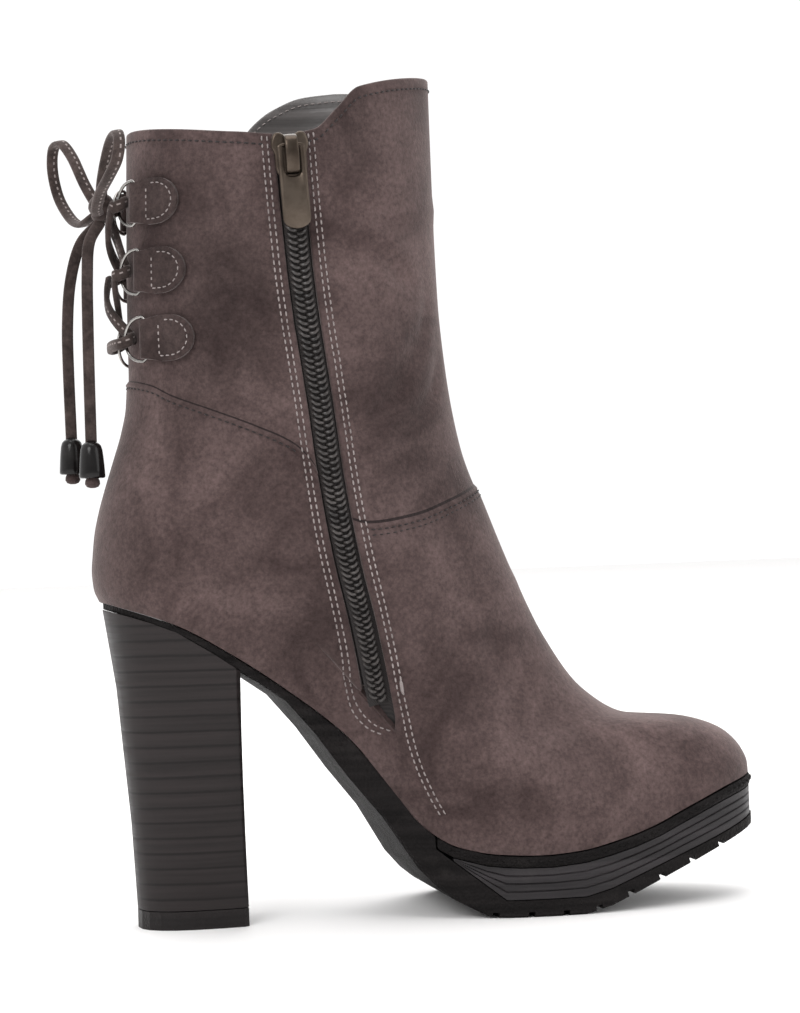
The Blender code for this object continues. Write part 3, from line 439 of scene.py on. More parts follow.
# wide patches on the suede, lighter or darker: partly its own cloudy tone and partly painted light and
# shade (a painted highlight on the upward toe, painted shade at the back of the shaft); place in metres,
# reach, and how bright its middle is
toneAndShadePatches = (((0.010, -0.034, 0.206), 0.052, 0.62), ((0.070, -0.032, 0.226), 0.040, 1.22),
         ((0.052, -0.034, 0.262), 0.030, 0.74), ((-0.004, -0.030, 0.148), 0.034, 1.06),
         ((-0.020, -0.028, 0.118), 0.026, 0.78), ((0.044, -0.030, 0.096), 0.034, 0.78),
         ((0.076, -0.032, 0.150), 0.034, 0.84), ((0.112, -0.030, 0.070), 0.040, 1.10),
         ((0.166, -0.016, 0.058), 0.045, 1.45), ((0.080, -0.034, 0.180), 0.022, 0.80))
# dashes down a lace, from its own length and width
dashForm = dict(share=0.45, middle=0.62, half=0.07, colour=(0.27, 0.23, 0.22))


def makeSuede(name, dark, light, patchScale=32.0, stitched=False, withToneAndShade=False):
    material, tree, shader = startMaterial(name, Sheen_Weight=0.30, Sheen_Roughness=0.45,
                                           Sheen_Tint=(0.85, 0.76, 0.74, 1), Specular_IOR_Level=0.12)
    nap = grouped(tree, napGroup, {"Patch Scale": patchScale})
    grain = ranged(tree, nap["Nap"], 0.0, 1.0, 0.62, 1.30)
    where = addNode(tree, "ShaderNodeTexCoord").outputs
    # lighten or darken the suede round each place: its own tone, and painted light and shade
    for place, reach, bright in toneAndShadePatches if withToneAndShade else ():
        far = addNode(tree, "ShaderNodeVectorMath", {0: where["Object"], 1: place}, operation="DISTANCE")
        mask = ranged(tree, far.outputs["Value"], 0.0, reach, bright, 1.0, interpolation_type="SMOOTHSTEP")
        grain = reckon(tree, "MULTIPLY", grain, mask)
    colour = mixed(tree, nap["Patches"], dark, light)
    shade = addNode(tree, "ShaderNodeVectorMath", {0: colour, "Scale": grain}, operation="SCALE")
    colour = shade.outputs["Vector"]
    if stitched:
        run = addNode(tree, "ShaderNodeSeparateXYZ", {"Vector": where["UV"]}).outputs
        dash = reckon(tree, "LESS_THAN", reckon(tree, "FRACT", run["X"]), dashForm["share"])
        away = reckon(tree, "ABSOLUTE", reckon(tree, "SUBTRACT", run["Y"], dashForm["middle"]))
        line = reckon(tree, "LESS_THAN", away, dashForm["half"])
        colour = mixed(tree, reckon(tree, "MULTIPLY", dash, line), colour, dashForm["colour"])
    dress(tree, shader, colour, ranged(tree, nap["Nap"], 0.0, 1.0, 0.86, 1.0), nap["Height"], 0.55, 0.0004)
    return material


def makeMoulded(name, dark, light, roughness, stippleScale, stippleDepth, streakDepth, coat=0.0,
                specular=0.22):
    material, tree, shader = startMaterial(name, Coat_Weight=coat, Coat_Roughness=0.3,
                                           Specular_IOR_Level=specular)
    grain = grouped(tree, grainGroup, {"Stipple Scale": stippleScale})
    colour = mixed(tree, ranged(tree, grain["Streaks"], 0.35, 0.65), dark, light)
    dusty = ranged(tree, grain["Dust"], 0.58, 0.82, 0.0, 0.18)
    deep = reckon(tree, "MULTIPLY", grain["Stipple"], stippleDepth)
    dress(tree, shader, mixed(tree, dusty, colour, (0.10, 0.09, 0.085)),
          ranged(tree, grain["Dust"], 0.3, 0.7, roughness - 0.07, roughness + 0.09),
          reckon(tree, "MULTIPLY_ADD", grain["Streaks"], streakDepth, deep), 0.7, 0.0004)
    return material


def makeStacked():
    # heel of thin pressed layers: a darker line every few millimetres with fine streaks between
    material, tree, shader = startMaterial("stackedHeel", Specular_IOR_Level=0.22)
    grain = grouped(tree, grainGroup, {"Streak Scale": 620.0})
    where = addNode(tree, "ShaderNodeTexCoord").outputs["Object"]
    inputs = {"Vector": where, "Scale": 62.8, "Distortion": 0.6, "Detail": 2.0, "Detail Scale": 0.6}
    wave = addNode(tree, "ShaderNodeTexWave", inputs, wave_type="BANDS", bands_direction="Z")
    line = ranged(tree, wave.outputs["Fac"], 0.0, 0.12, 1.0, 0.0)
    streak = ranged(tree, grain["Streaks"], 0.3, 0.7)
    wood = mixed(tree, streak, (0.013, 0.010, 0.010), (0.024, 0.019, 0.019))
    height = reckon(tree, "MULTIPLY_ADD", line, -0.8, streak)
    dress(tree, shader, mixed(tree, line, wood, (0.008, 0.006, 0.006)),
          ranged(tree, streak, 0.0, 1.0, 0.38, 0.55), height, 0.35, 0.00018)
    return material


def makeMetal(name, dark, light, roughness):
    material, tree, shader = startMaterial(name, Metallic=1.0)
    dust = grouped(tree, grainGroup)["Dust"]
    dress(tree, shader, mixed(tree, ranged(tree, dust, 0.35, 0.65), dark, light),
          ranged(tree, dust, 0.3, 0.7, roughness - 0.06, roughness + 0.1), dust, 0.15, 0.0002)
    return material


def makeCloth(name, dark, light, scale, roughness):
    # woven tape and thread: fine slanting ribs over a cloudy tone
    material, tree, shader = startMaterial(name, Sheen_Weight=0.15, Specular_IOR_Level=0.3)
    where = addNode(tree, "ShaderNodeTexCoord").outputs["Object"]
    inputs = {"Vector": where, "Scale": scale, "Distortion": 1.5, "Detail": 2.0}
    ribs = addNode(tree, "ShaderNodeTexWave", inputs, wave_type="BANDS", bands_direction="DIAGONAL")
    clouds = noise(tree, where, 90.0, 5.0)
    tone = reckon(tree, "MULTIPLY_ADD", ribs.outputs["Fac"], 0.4, clouds)
    dress(tree, shader, mixed(tree, ranged(tree, tone, 0.4, 1.0), dark, light),
          ranged(tree, clouds, 0.3, 0.7, roughness - 0.1, roughness + 0.1), tone, 0.4, 0.0003)
    return material


laceTones = (0.034, 0.025, 0.023), (0.066, 0.049, 0.045)
looks = dict(
    suede=makeSuede("taupeSuede", (0.046, 0.030, 0.029), (0.108, 0.074, 0.071), withToneAndShade=True),
    # dark suede for the row along the overlay's top edge: painted shade of the groove there
    seamShade=makeSuede("seamShadeSuede", (0.016, 0.011, 0.011), (0.026, 0.019, 0.019)),
    tab=makeSuede("tabSuede", (0.034, 0.023, 0.022), (0.060, 0.042, 0.040), patchScale=90.0),
    lace=makeSuede("laceSuede", *laceTones, patchScale=160.0, stitched=True),
    laceEnd=makeSuede("endSuede", *laceTones, patchScale=160.0),
    lining=makeMoulded("darkLining", (0.050, 0.043, 0.041), (0.105, 0.093, 0.090), 0.34, 700.0, 0.12, 0.6,
                       coat=0.25, specular=0.5),
    tape=makeCloth("zipTape", (0.012, 0.010, 0.010), (0.032, 0.027, 0.026), 900.0, 0.85),
    thread=makeCloth("paleThread", (0.20, 0.17, 0.165), (0.38, 0.33, 0.32), 1500.0, 0.7),
    darkThread=makeCloth("darkThread", (0.014, 0.010, 0.010), (0.030, 0.022, 0.022), 1500.0, 0.7),
    coil=makeMoulded("zipCoil", (0.022, 0.019, 0.018), (0.064, 0.056, 0.053), 0.36, 1800.0, 0.2, 0.1, 0.5),
    rubber=makeMoulded("blackRubber", (0.008, 0.007, 0.007), (0.015, 0.013, 0.013), 0.60, 900.0, 1.6, 0.1,
                       specular=0.07),
    midsole=makeMoulded("darkMidsole", (0.019, 0.017, 0.018), (0.034, 0.030, 0.032), 0.42, 1600.0, 0.12,
                        0.9),
    lift=makeMoulded("heelLift", (0.009, 0.007, 0.007), (0.015, 0.012, 0.012), 0.48, 1300.0, 0.5, 0.3),
    heel=makeStacked(),
    bronze=makeMetal("bronzeMetal", (0.060, 0.046, 0.036), (0.115, 0.092, 0.074), 0.34),
    bright=makeMetal("brightMetal", (0.22, 0.21, 0.20), (0.46, 0.44, 0.42), 0.18),
    gloss=makeMoulded("glossBlack", (0.004, 0.003, 0.003), (0.007, 0.006, 0.006), 0.12, 400.0, 0.02,
                      0.02, 0.15),
)
print("materials are made")


# meshes
def addPiece(name, points, faces, materials, slotName, body="boot", replaced=(), marks=None, uvs=None):
    mesh = bpy.data.meshes.new(name)
    mesh.from_pydata([Vector(p) * mm for p in points], [], faces)
    for material in materials:
        mesh.materials.append(material)
    if marks:
        mesh.polygons.foreach_set("material_index", marks)
    if uvs:
        layer = mesh.uv_layers.new(name="run")
        for loop in mesh.loops:
            layer.data[loop.index].uv = uvs[loop.vertex_index]
    else:
        shape = bmesh.new()
        shape.from_mesh(mesh)
        bmesh.ops.remove_doubles(shape, verts=shape.verts, dist=1e-7)
        bmesh.ops.recalc_face_normals(shape, faces=shape.faces)
        shape.to_mesh(mesh)
        shape.free()
    mesh.shade_smooth()
    mesh.set_sharp_from_angle(angle=radians(50))
    piece = addObject(name, mesh)
    if replaced:
        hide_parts(*replaced)
    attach(piece, body)
    return piece


def ringFaces(rings, count, closed=False):
    # faces between rings of equal length, that end in a cap or run on to the first ring
    faces = []
    for r in range(rings if closed else rings - 1):
        for c in range(count):
            a, b = r * count, ((r + 1) % rings) * count
            d = (c + 1) % count
            faces.append((a + c, a + d, b + d, b + c))
    if not closed:
        faces += [tuple(range(count - 1, -1, -1)), tuple(range((rings - 1) * count, rings * count))]
    return faces


def addTo(store, points, faces):
    base = len(store[0])
    store[0].extend(points)
    store[1].extend(tuple(base + i for i in face) for face in faces)


# upper
shellForm = dict(rear=64, front=72, outer=120, below=84, above=58, lip=(0.55, 0.0, 1.6), rimSteps=6,
                 rimRise=0.7)


def makeUpper():
    form = shellForm
    halfSlot = zipForm["slot"] / 2
    steps = 120
    edges = {-1: [], 1: []}
    for i in range(steps + 1):
        for edge in edges:
            phi = -pi / 2
            for _ in range(6):
                phi = angleAt(medial, zipLineAt(upperPoint(phi, i / steps).z) + edge * halfSlot, i / steps)
            edges[edge].append(phi)

    def edgeAt(edge, t):
        place = min(max(t, 0.0), 1.0) * steps
        k = min(int(place), steps - 1)
        return edges[edge][k] + (edges[edge][k + 1] - edges[edge][k]) * (place - k)

    # columns run back seam, zip, toe and outer side, closer beside the zip
    columns = [("rear", 1 - (1 - i / form["rear"]) ** 1.5) for i in range(form["rear"] + 1)]
    columns += [("front", (i / form["front"]) ** 1.5) for i in range(form["front"])]
    columns += [("outer", i / form["outer"]) for i in range(form["outer"])]
    count = len(columns)

    def angle(c, t):
        part, u = columns[c]
        if part == "rear":
            return -pi + (edgeAt(-1, t) + pi) * u
        if part == "front":
            return edgeAt(1, t) * (1 - u)
        return pi * u

    def aboveSeam(c):
        def height(t):
            point = upperPoint(angle(c, t), t)
            return point.z - seamAt(point.x)
        return height

    seams = [solve(aboveSeam(c), 0.2, 0.9) for c in range(count)]
    rows = []
    for i in range(form["below"] + 1):
        share = 1 - (1 - i / form["below"]) ** 1.6
        rows.append([(seam * share, 1) for seam in seams])
    for i in range(form["above"] + 1):
        share = max(i / form["above"], 0.0065)
        rows.append([(seam + (1 - seam) * share, 0) for seam in seams])

    base = [[upperPoint(angle(c, t), t) for c, (t, _) in enumerate(row)] for row in rows]
    last = len(rows) - 1
    foot = next(r for r in range(last) if base[r][form["rear"]].z > zipForm["foot"])
    outer, inner = [], []

    def hump(form, place):
        return form[0] * exp(-((place - form[1]) / form[2]) ** 2)

    for r, row in enumerate(rows):
        low, high = max(r - 2, 0), min(r + 2, last)
        for c, (t, below) in enumerate(row):
            around = base[r][(c + 1) % count] - base[r][c - 1]
            normal = around.cross(base[high][c] - base[low][c]).normalized()
            point = base[r][c]
            proud = upperForm["overlay"] * below + relief(point)
            # the overlay's edge and the slot's lips roll inward
            if below:
                proud -= upperForm["edgeDrop"] * exp(-((seams[c] - t) / upperForm["edgeReach"]) ** 2)
                drop = seamAt(point.x) - point.z
                proud += hump(upperForm["ridge"], drop) - hump(upperForm["groove"], drop)
            if r >= foot - 1:
                gap = min(abs(c - form["rear"]), abs(c - form["rear"] - 1))
                proud -= hump(form["lip"], gap)
            if point.x < 0 and point.z < upperForm["backSeamTop"]:
                proud -= hump(upperForm["backSeam"], point.y)
            outer.append(point + normal * proud)
            inner.append(point - normal * upperForm["wall"])

    points, faces, marks = outer + inner, [], []
    half = len(outer)
    # marks choose the suede, the lining or the dark suede above the overlay, which is painted shade of the
    # groove along its edge
    suede, lining, seamShade = range(3)

    def add(mark, face):
        marks.append(mark)
        faces.append(face)

    for r in range(last):
        for c in range(count):
            if c == form["rear"] and r >= foot:
                continue
            d = (c + 1) % count
            quad = [r * count + c, r * count + d, (r + 1) * count + d, (r + 1) * count + c]
            # the row at the overlay's top edge takes the dark suede, painted shade of the groove
            add(seamShade if r == form["below"] else suede, quad)
            add(lining, [half + i for i in reversed(quad)])
    for c in range(count):
        d = (c + 1) % count
        add(lining, [d, c, half + c, half + d])
    # rounded rim from the outside over to the lining
    rim = [list(range(last * count, (last + 1) * count))]
    for k in range(1, form["rimSteps"]):
        turn = pi * k / form["rimSteps"]
        ring = []
        for c in range(count):
            a, b = outer[last * count + c], inner[last * count + c]
            ring.append(len(points))
            rise = Vector((0, 0, form["rimRise"] * sin(turn)))
            points.append((a + b) / 2 + (a - b) / 2 * cos(turn) + rise)
        rim.append(ring)
    rim.append([half + last * count + c for c in range(count)])
    for k in range(form["rimSteps"]):
        for c in range(count):
            if c != form["rear"]:
                d = (c + 1) % count
                add(suede if k < form["rimSteps"] - 2 else lining,
                    [rim[k][c], rim[k][d], rim[k + 1][d], rim[k + 1][c]])
    for c in (form["rear"], form["rear"] + 1):
        for r in range(foot, last):
            a, b = r * count + c, (r + 1) * count + c
            add(suede, [a, b, half + b, half + a])
        add(suede, [rim[k][c] for k in range(form["rimSteps"] + 1)])
    a, b = foot * count + form["rear"], foot * count + form["rear"] + 1
    add(suede, [a, b, half + b, half + a])
    addPiece("upperShell", points, faces, [looks["suede"], looks["lining"], looks["seamShade"]], "suede",
             replaced=("upper",), marks=marks)


makeUpper()
print("upper is made")


# runs and bands
def smoothRoute(stops, spacing):
    # points at equal steps on a smooth curve through the stops
    stops = [Vector(s) for s in stops]
    ends = [stops[0] * 2 - stops[1]] + stops + [stops[-1] * 2 - stops[-2]]
    fine = []
    for i in range(1, len(ends) - 2):
        a, b, c, d = ends[i - 1:i + 3]
        for k in range(20):
            u = k / 20
            fine.append(0.5 * (2 * b + (c - a) * u + (2 * a - 5 * b + 4 * c - d) * u * u
                               + (3 * b - a - 3 * c + d) * u ** 3))
    fine.append(stops[-1])
    return evenly(fine, spacing)


def evenly(line, spacing):
    total = sum((q - p).length for p, q in zip(line, line[1:]))
    count = max(2, round(total / spacing))
    route, walked, wanted = [line[0]], 0.0, total / count
    for p, q in zip(line, line[1:]):
        step = (q - p).length
        while step > 0 and walked + step >= wanted - 1e-9 and len(route) < count:
            route.append(p.lerp(q, (wanted - walked) / step))
            wanted += total / count
        walked += step
    route.append(line[-1])
    return route


def sweepRun(route, ups, section, closed=False):
    # points, faces and uvs of a band: section is across and out, ups gives the across direction
    points, uvs, wide = [], [], max(abs(a) for a, _ in section)
    count, walked = len(route), 0.0
    for i, point in enumerate(route):
        before = route[(i - 1) % count] if closed or i > 0 else route[i]
        after = route[(i + 1) % count] if closed or i < count - 1 else route[i]
        along = (after - before).normalized()
        across = (ups[i] - along * ups[i].dot(along)).normalized()
        out = along.cross(across)
        if i:
            walked += (point - route[i - 1]).length
        for a, b in section:
            points.append(point + across * a + out * b)
            uvs.append((walked / laceForm["dash"], 0.5 + a / (2 * wide)))
    return points, ringFaces(count, len(section), closed), uvs


def circle(count):
    turns = [2 * pi * k / count for k in range(count)]
    return [(cos(turn), sin(turn)) for turn in turns]


def flatSection(width, thick):
    # rounded band: power sets how square its edges are
    power, section = 2 / 3.2, []
    for a, b in circle(16):
        section.append((copysign(abs(a) ** power, a) * width / 2,
                        copysign(abs(b) ** power, b) * thick / 2))
    return section


def roundSection(radius, steps=12):
    return [(radius * a, radius * b) for a, b in circle(steps)]


# zip
def zipSide(z, across, out):
    phi, t = onSide(medial, zipLineAt(z) + across, z)
    return upperPoint(phi, t) + upperNormal(phi, t) * out


def makeZip():
    (low, high), steps = zipForm["tape"], zipForm["steps"]
    rings = []
    for i in range(steps + 1):
        z = low + (high - low) * i / steps
        rear = 4.4 + 2.2 * smoothStep((z - 62) / 20)
        section = ((-rear, -2.0), (-3.0, -1.95), (3.0, -1.95), (6.6, -2.0), (6.6, -2.4), (-rear, -2.4))
        rings.append([zipSide(z, a, b) for a, b in section])
    points = [p for ring in rings for p in ring]
    addPiece("zipTape", points, ringFaces(len(rings), 6), [looks["tape"]], "zip_fabric",
             replaced=("zip_tape",))

    # two rows of coil that lock in the middle; the slot's front corner reaches lower than its rear one
    coil = ([], [])
    for edge, first in ((-1, -2.4), (1, -4.4)):
        count = int((zipForm["top"] - zipForm["foot"] - first - 1.5) / zipForm["pitch"])
        for k in range(count):
            z = zipForm["foot"] + first + zipForm["pitch"] * (k + (0.5 if edge > 0 else 0.0))
            wide = edge * (0.78 + 0.22 * smoothStep((z - 75) / 60))
            route = smoothRoute([zipSide(z + up, wide * a, b) for a, b, up in zipForm["tooth"]], 0.5)
            run, runFaces, _ = sweepRun(route, [Vector((0, 0, 1))] * len(route),
                                        roundSection(zipForm["toothWidth"] / 2, 7))
            addTo(coil, run, runFaces)
    addPiece("zipCoil", *coil, [looks["coil"]], "zip_fabric", replaced=("zip_teeth",))
    # cord along the middle of the tape, below the coil
    route = [zipSide(low + 14 + (high - low - 18) * i / steps, 0, -1.35) for i in range(steps + 1)]
    run, runFaces, _ = sweepRun(route, [Vector((1, 0, 0))] * len(route),
                                flatSection(zipForm["slot"] - 1.2, 0.9))
    addPiece("zipRib", run, runFaces, [looks["tape"]], "zip_fabric")


makeZip()
print("zip is made")


# slider and pull tab, placed by the pull's own hinge
sliderForm = dict(
    hinge=(35.702, -41.78, 252.539), across=(0.99741, -0.04268, 0.05795), up=3.2, out=3.5,
    shield=((-3.2, -7.4), (3.2, -7.4), (5.0, -4.6), (5.2, 0.4), (6.1, 3.4), (5.2, 6.8), (3.2, 7.4),
            (1.4, 6.5), (-1.4, 6.5), (-3.2, 7.4), (-5.2, 6.8), (-6.1, 3.4), (-5.2, 0.4), (-5.0, -4.6)),
    layers=((0.94, 0.0), (1.0, 0.3), (1.0, 1.3), (0.96, 1.65), (0.88, 1.8)),
    bridge=((6.0, 1.2), (5.9, 3.3), (4.6, 5.1), (2.2, 5.8), (-1.2, 5.8), (-4.2, 5.1), (-5.7, 3.6),
            (-5.9, 1.2)),
)
pullForm = dict(half=4.5, length=27.0, slotHalf=2.7, slotLength=10.4, bar=0.65, thick=0.6, bevel=0.28)


def makeSlider():
    form = sliderForm
    across = Vector(form["across"])
    up = zipSide(254.5, 0, 0) - zipSide(244.5, 0, 0)
    up = (up - across * up.dot(across)).normalized()
    out = across.cross(up)
    hinge = Vector(form["hinge"])
    origin = hinge - up * form["up"] - out * form["out"]

    def at(a, b, c):
        return origin + across * a + up * b + out * c

    closed = list(form["shield"]) + [form["shield"][0]]
    outline = smoothRoute([(a, b, 0.0) for a, b in closed], 0.7)[:-1]
    plate = ([], [])
    addTo(plate, [at(p.x * k, p.y * k, c) for k, c in form["layers"] for p in outline],
          ringFaces(len(form["layers"]), len(outline)))
    route = smoothRoute([at(0.0, b, c) for b, c in form["bridge"]], 0.6)
    addTo(plate, *sweepRun(route, [across] * len(route), flatSection(4.3, 1.0))[:2])
    addPiece("zipSlider", *plate, [looks["bronze"]], "dark_metal", replaced=("zip_slider",))

    form = pullForm
    loops = {}
    for inset in (0.0, form["bevel"]):
        outer, inner = [], []
        for sign, end, bow, slotEnd, slotBow in ((1, form["bar"], 1.3, -form["bar"], 0.2),
                                                 (-1, -form["length"], 3.4, -form["slotLength"], 1.5)):
            for i in range(18):
                turn = pi * (i + 0.5) / 18
                curl = sin(turn) - 1
                outer.append((sign * (form["half"] - inset) * cos(turn),
                              end - sign * inset + sign * bow * curl))
                inner.append((sign * (form["slotHalf"] + inset) * cos(turn),
                              slotEnd + sign * inset + sign * slotBow * curl))
        loops[inset] = outer, inner
    (outer, inner), (outerBevel, innerBevel) = loops[0.0], loops[form["bevel"]]
    flat, thick = form["thick"] - form["bevel"], form["thick"]
    stack = [(outerBevel, -thick), (outer, -flat), (outer, flat), (outerBevel, thick),
             (innerBevel, thick), (inner, flat), (inner, -flat), (innerBevel, -thick)]
    points = [hinge + across * a + up * b + out * c for loop, c in stack for a, b in loop]
    n = len(stack[0][0])
    addPiece("pullTab", points, ringFaces(len(stack), n, closed=True), [looks["bronze"]], "dark_metal",
             body="pull_tab", replaced=("zip_pull",))


makeSlider()
print("slider and pull tab are made")


# stitching: each stitch is a short rounded thread that dips at both ends
threads = dict(length=1.55, pitch=2.35, radius=0.27)
# share of the length, lift and share of the radius
stitchRings = ((-0.5, -0.15, 0.45), (-0.28, 0.10, 1.0), (0.28, 0.10, 1.0), (0.5, -0.15, 0.45))
seatOut = 0.12


def stitches(store, path, **changes):
    length, pitch, radius = dict(threads, **changes).values()
    points = [p for p, _ in path]
    total = sum((q - p).length for p, q in zip(points, points[1:]))
    for k in range(max(1, int(total / pitch))):
        middle = pitch * (k + 0.5)
        ring = []
        for share, lift, thick in stitchRings:
            place, along, normal = walk(path, middle + share * length)
            side = along.cross(normal)
            ring += [place + normal * (lift + radius * thick * b) + side * radius * thick * a
                     for a, b in circle(6)]
        addTo(store, ring, ringFaces(len(stitchRings), 6))


def walk(path, distance):
    for (p, n), (q, m) in zip(path, path[1:]):
        step = (q - p).length
        if distance <= step or (q, m) == path[-1]:
            u = distance / step if step else 0.0
            return p + (q - p) * u, (q - p).normalized(), (n + (m - n) * u).normalized()
        distance -= step
    return path[-1][0], (path[-1][0] - path[-2][0]).normalized(), path[-1][1]


def sidePath(side, stops):
    # smooth line over one side of the upper through stops of x and z; a point that isn't found is left out
    step = 2.5
    route = smoothRoute([(x, 0.0, z) for x, z in stops], step)
    path = [(p, sidePoint(side, p.x, p.z, seatOut)) for p in route]
    return [found for p, found in path if hypot(found[0].x - p.x, found[0].z - p.z) < step]


def zipRow(across, low):
    return [(zipLineAt(z) + across, z) for z in [258 - (258 - low) * i / 12 for i in range(13)]]


zipRows = dict(first=6.7, gap=1.7, rearLow=77.0, frontLow=74.0)
footRow = ((54.8, 71.4), (57.6, 67.2), (61.4, 64.0), (66.0, 62.4))
frontRow = ((68.6, 66.0), (70.6, 58.0), (73.4, 49.0), (77.2, 40.0), (80.8, 33.2))


def seamPath(start, end, below, out):
    # line that runs beside the seam, below it by some millimetres
    path, steps = [], 60
    for i in range(steps + 1):
        phi = start + (end - start) * i / steps
        t = solve(lambda u: upperPoint(phi, u).z - seamAt(upperPoint(phi, u).x) + below, 0.05, 0.95)
        point, normal = upperPoint(phi, t), upperNormal(phi, t)
        path.append((point + normal * (out + upperForm["overlay"] + relief(point)), normal))
    return path


def rimPath(inside, below, start, end):
    path, steps = [], 180
    for i in range(steps + 1):
        phi = start + (end - start) * i / steps
        rim = upperPoint(phi, 1.0).z
        t = solve(lambda u: upperPoint(phi, u).z - rim + below, 0.5, 1.0)
        point, normal = upperPoint(phi, t), upperNormal(phi, t)
        if inside:
            path.append((point - normal * (upperForm["wall"] + 0.1), -normal))
        else:
            path.append((point + normal * seatOut, normal))
    return path


def makeStitching():
    pale, dark = ([], []), ([], [])
    for k in range(2):
        shift = zipRows["gap"] * k
        across = zipRows["first"] + shift
        rear = zipRow(-across, zipRows["rearLow"])
        rear += [(x - shift, z - shift * 0.8) for x, z in footRow]
        front = zipRow(across, zipRows["frontLow"]) + [(x + shift, z) for x, z in frontRow]
        stitches(pale, sidePath(medial, rear))
        stitches(pale, sidePath(medial, front))
    zipBack, zipFront = onSide(medial, 35.6, 158.0)[0], onSide(medial, 58.6, 131.0)[0]
    # two rows round the front, that leave out its middle, and one row round the back
    turn = pi * 0.62
    rows = [(-pi, zipBack, 2.0, -0.1)]
    for below in (2.0, 3.8):
        rows += [(zipFront, -0.06, below, -0.05), (0.06, turn, below, -0.05)]
    for row in rows + [(turn, pi, 2.0, -0.1)]:
        stitches(dark, seamPath(*row), radius=0.22)
    slotBack, slotFront = onSide(medial, 30.4, 256.0)[0], onSide(medial, 41.6, 256.0)[0]
    for start, end in ((-pi, slotBack), (slotFront, pi)):
        stitches(dark, rimPath(False, 3.0, start, end))
        stitches(pale, rimPath(True, 2.2, start, end), radius=0.22)
    # bar of thread at the front of the zip's foot
    bar = [sidePoint(medial, x, z, 0.3) for x, z in ((67.6, 79.4), (68.3, 74.4))]
    stitches(pale, bar, pitch=5.0, length=4.6, radius=0.55)
    # cord stitches round the rand's outer face
    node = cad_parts["rand"]
    tree = BVHTree.FromPolygons([node.matrix_world @ v.co for v in node.data.vertices],
                                [tuple(f.vertices) for f in node.data.polygons])
    path = []
    for i in range(161):
        phi = -1.95 + 3.9 * i / 160
        point, away = upperPoint(phi, 0.0), upperNormal(phi, 0.02)
        away = Vector((away.x, away.y, 0)).normalized()
        hit, normal, _, _ = tree.ray_cast((point + away * 8 - Vector((0, 0, 2.0))) * mm, -away, 12 * mm)
        if hit is not None:
            path.append((hit / mm, normal))
    cords = ([], [])
    stitches(cords, path, pitch=3.1, length=2.5, radius=0.5)
    addPiece("randStitching", *cords, [looks["rubber"]], "black_rubber")
    addPiece("paleStitching", *pale, [looks["thread"]], "suede")
    addPiece("darkStitching", *dark, [looks["darkThread"]], "suede")


makeStitching()
print("stitching is made")


# tabs, rings and the lace that crosses between them
def makeTab(side, number, row):
    form, arc, bar = tabForm, laceForm["arc"], ringForm["barHeight"]
    name = f"{sideWords[side]}_{number}"
    across = 17
    roll = [(-cos(a) * form["roll"], bar + sin(a) * form["roll"])
            for a in [radians(-90 + 180 * k / 10) for k in range(11)]]
    points = []
    for r in range(across):
        v = sin(pi * (r / (across - 1) - 0.5) * 0.995)
        end = form["length"] - form["half"] * (1 - sqrt(max(0.0, 1 - v * v)))
        soft = 0.35 * v ** 8
        top, low = form["lift"] + form["thick"] - soft, form["lift"] + soft
        ring = [(u, out, form["foldHalf"]) for u, out in roll]
        ring += [(2.4, 3.7 - soft, 6.7), (4.4, top + 0.35, 7.2)]
        ring += [(4.4 + (end - 4.4) * k / 5, top, form["half"]) for k in range(1, 6)]
        ring += [(end + 0.25 * (1 - v * v), (top + low) / 2, form["half"])]
        ring += [(4.4 + (end - 4.4) * k / 5, low, form["half"]) for k in range(5, 0, -1)]
        ring += [(3.0, low, 6.9)]
        for u, out, wide in ring:
            points.append(skin(side * (row["bar"] + u / arc), row["z"] + wide * v, out))
    addPiece(f"ringTab_{name}", points, ringFaces(across, len(points) // across), [looks["tab"]], "suede",
             replaced=(f"ring_tab_{name}",))

    store = ([], [])

    def onTab(u, v):
        out = form["lift"] + form["thick"] + 0.05
        delta, z = side * (row["bar"] + u / arc), row["z"] + v
        return skin(delta, z, out), (skin(delta, z, out + 1) - skin(delta, z, out)).normalized()

    inset = form["half"] - 1.7
    curveEnd = form["length"] - 1.7
    edge = [onTab(5.0 + (curveEnd - inset - 5.0) * k / 4, -inset) for k in range(4)]
    edge += [onTab(curveEnd - inset + inset * sin(a), -inset * cos(a))
             for a in [pi * k / 12 for k in range(13)]]
    edge += [onTab(5.0 + (curveEnd - inset - 5.0) * k / 4, inset) for k in range(3, -1, -1)]
    stitches(store, edge, pitch=2.1, length=1.3, radius=0.22)
    stitches(store, [onTab(5.2, -inset + 2 * inset * k / 6) for k in range(7)], pitch=2.1, length=1.3,
             radius=0.26)
    addPiece(f"tabStitching_{name}", *store, [looks["thread"]], "suede")


def makeRing(side, number, row):
    form, arc = ringForm, laceForm["arc"]
    name = f"{sideWords[side]}_{number}"
    flat = [(1.0, -form["halfHeight"]), (0.0, -0.88 * form["halfHeight"]), (0.0, 0.0),
            (0.0, 0.88 * form["halfHeight"]), (1.0, form["halfHeight"])]
    for i in range(1, 24):
        turn = pi / 2 - pi * i / 24
        flat.append((form["depth"] * cos(turn) ** 0.75, form["halfHeight"] * sin(turn)))
    route, ups = [], []
    for u, dz in flat:
        out = form["barHeight"] + (form["tipHeight"] - form["barHeight"]) * u / form["depth"]
        delta = side * (row["bar"] - u / arc)
        route.append(skin(delta, row["z"] + dz, out))
        ups.append(skin(delta, row["z"] + dz, out + 1.0) - route[-1])
    points, faces, _ = sweepRun(route, ups, roundSection(form["wire"]), closed=True)
    addPiece(f"ring_{name}", points, faces, [looks["bright"]], "bright_metal", replaced=(f"d_ring_{name}",))


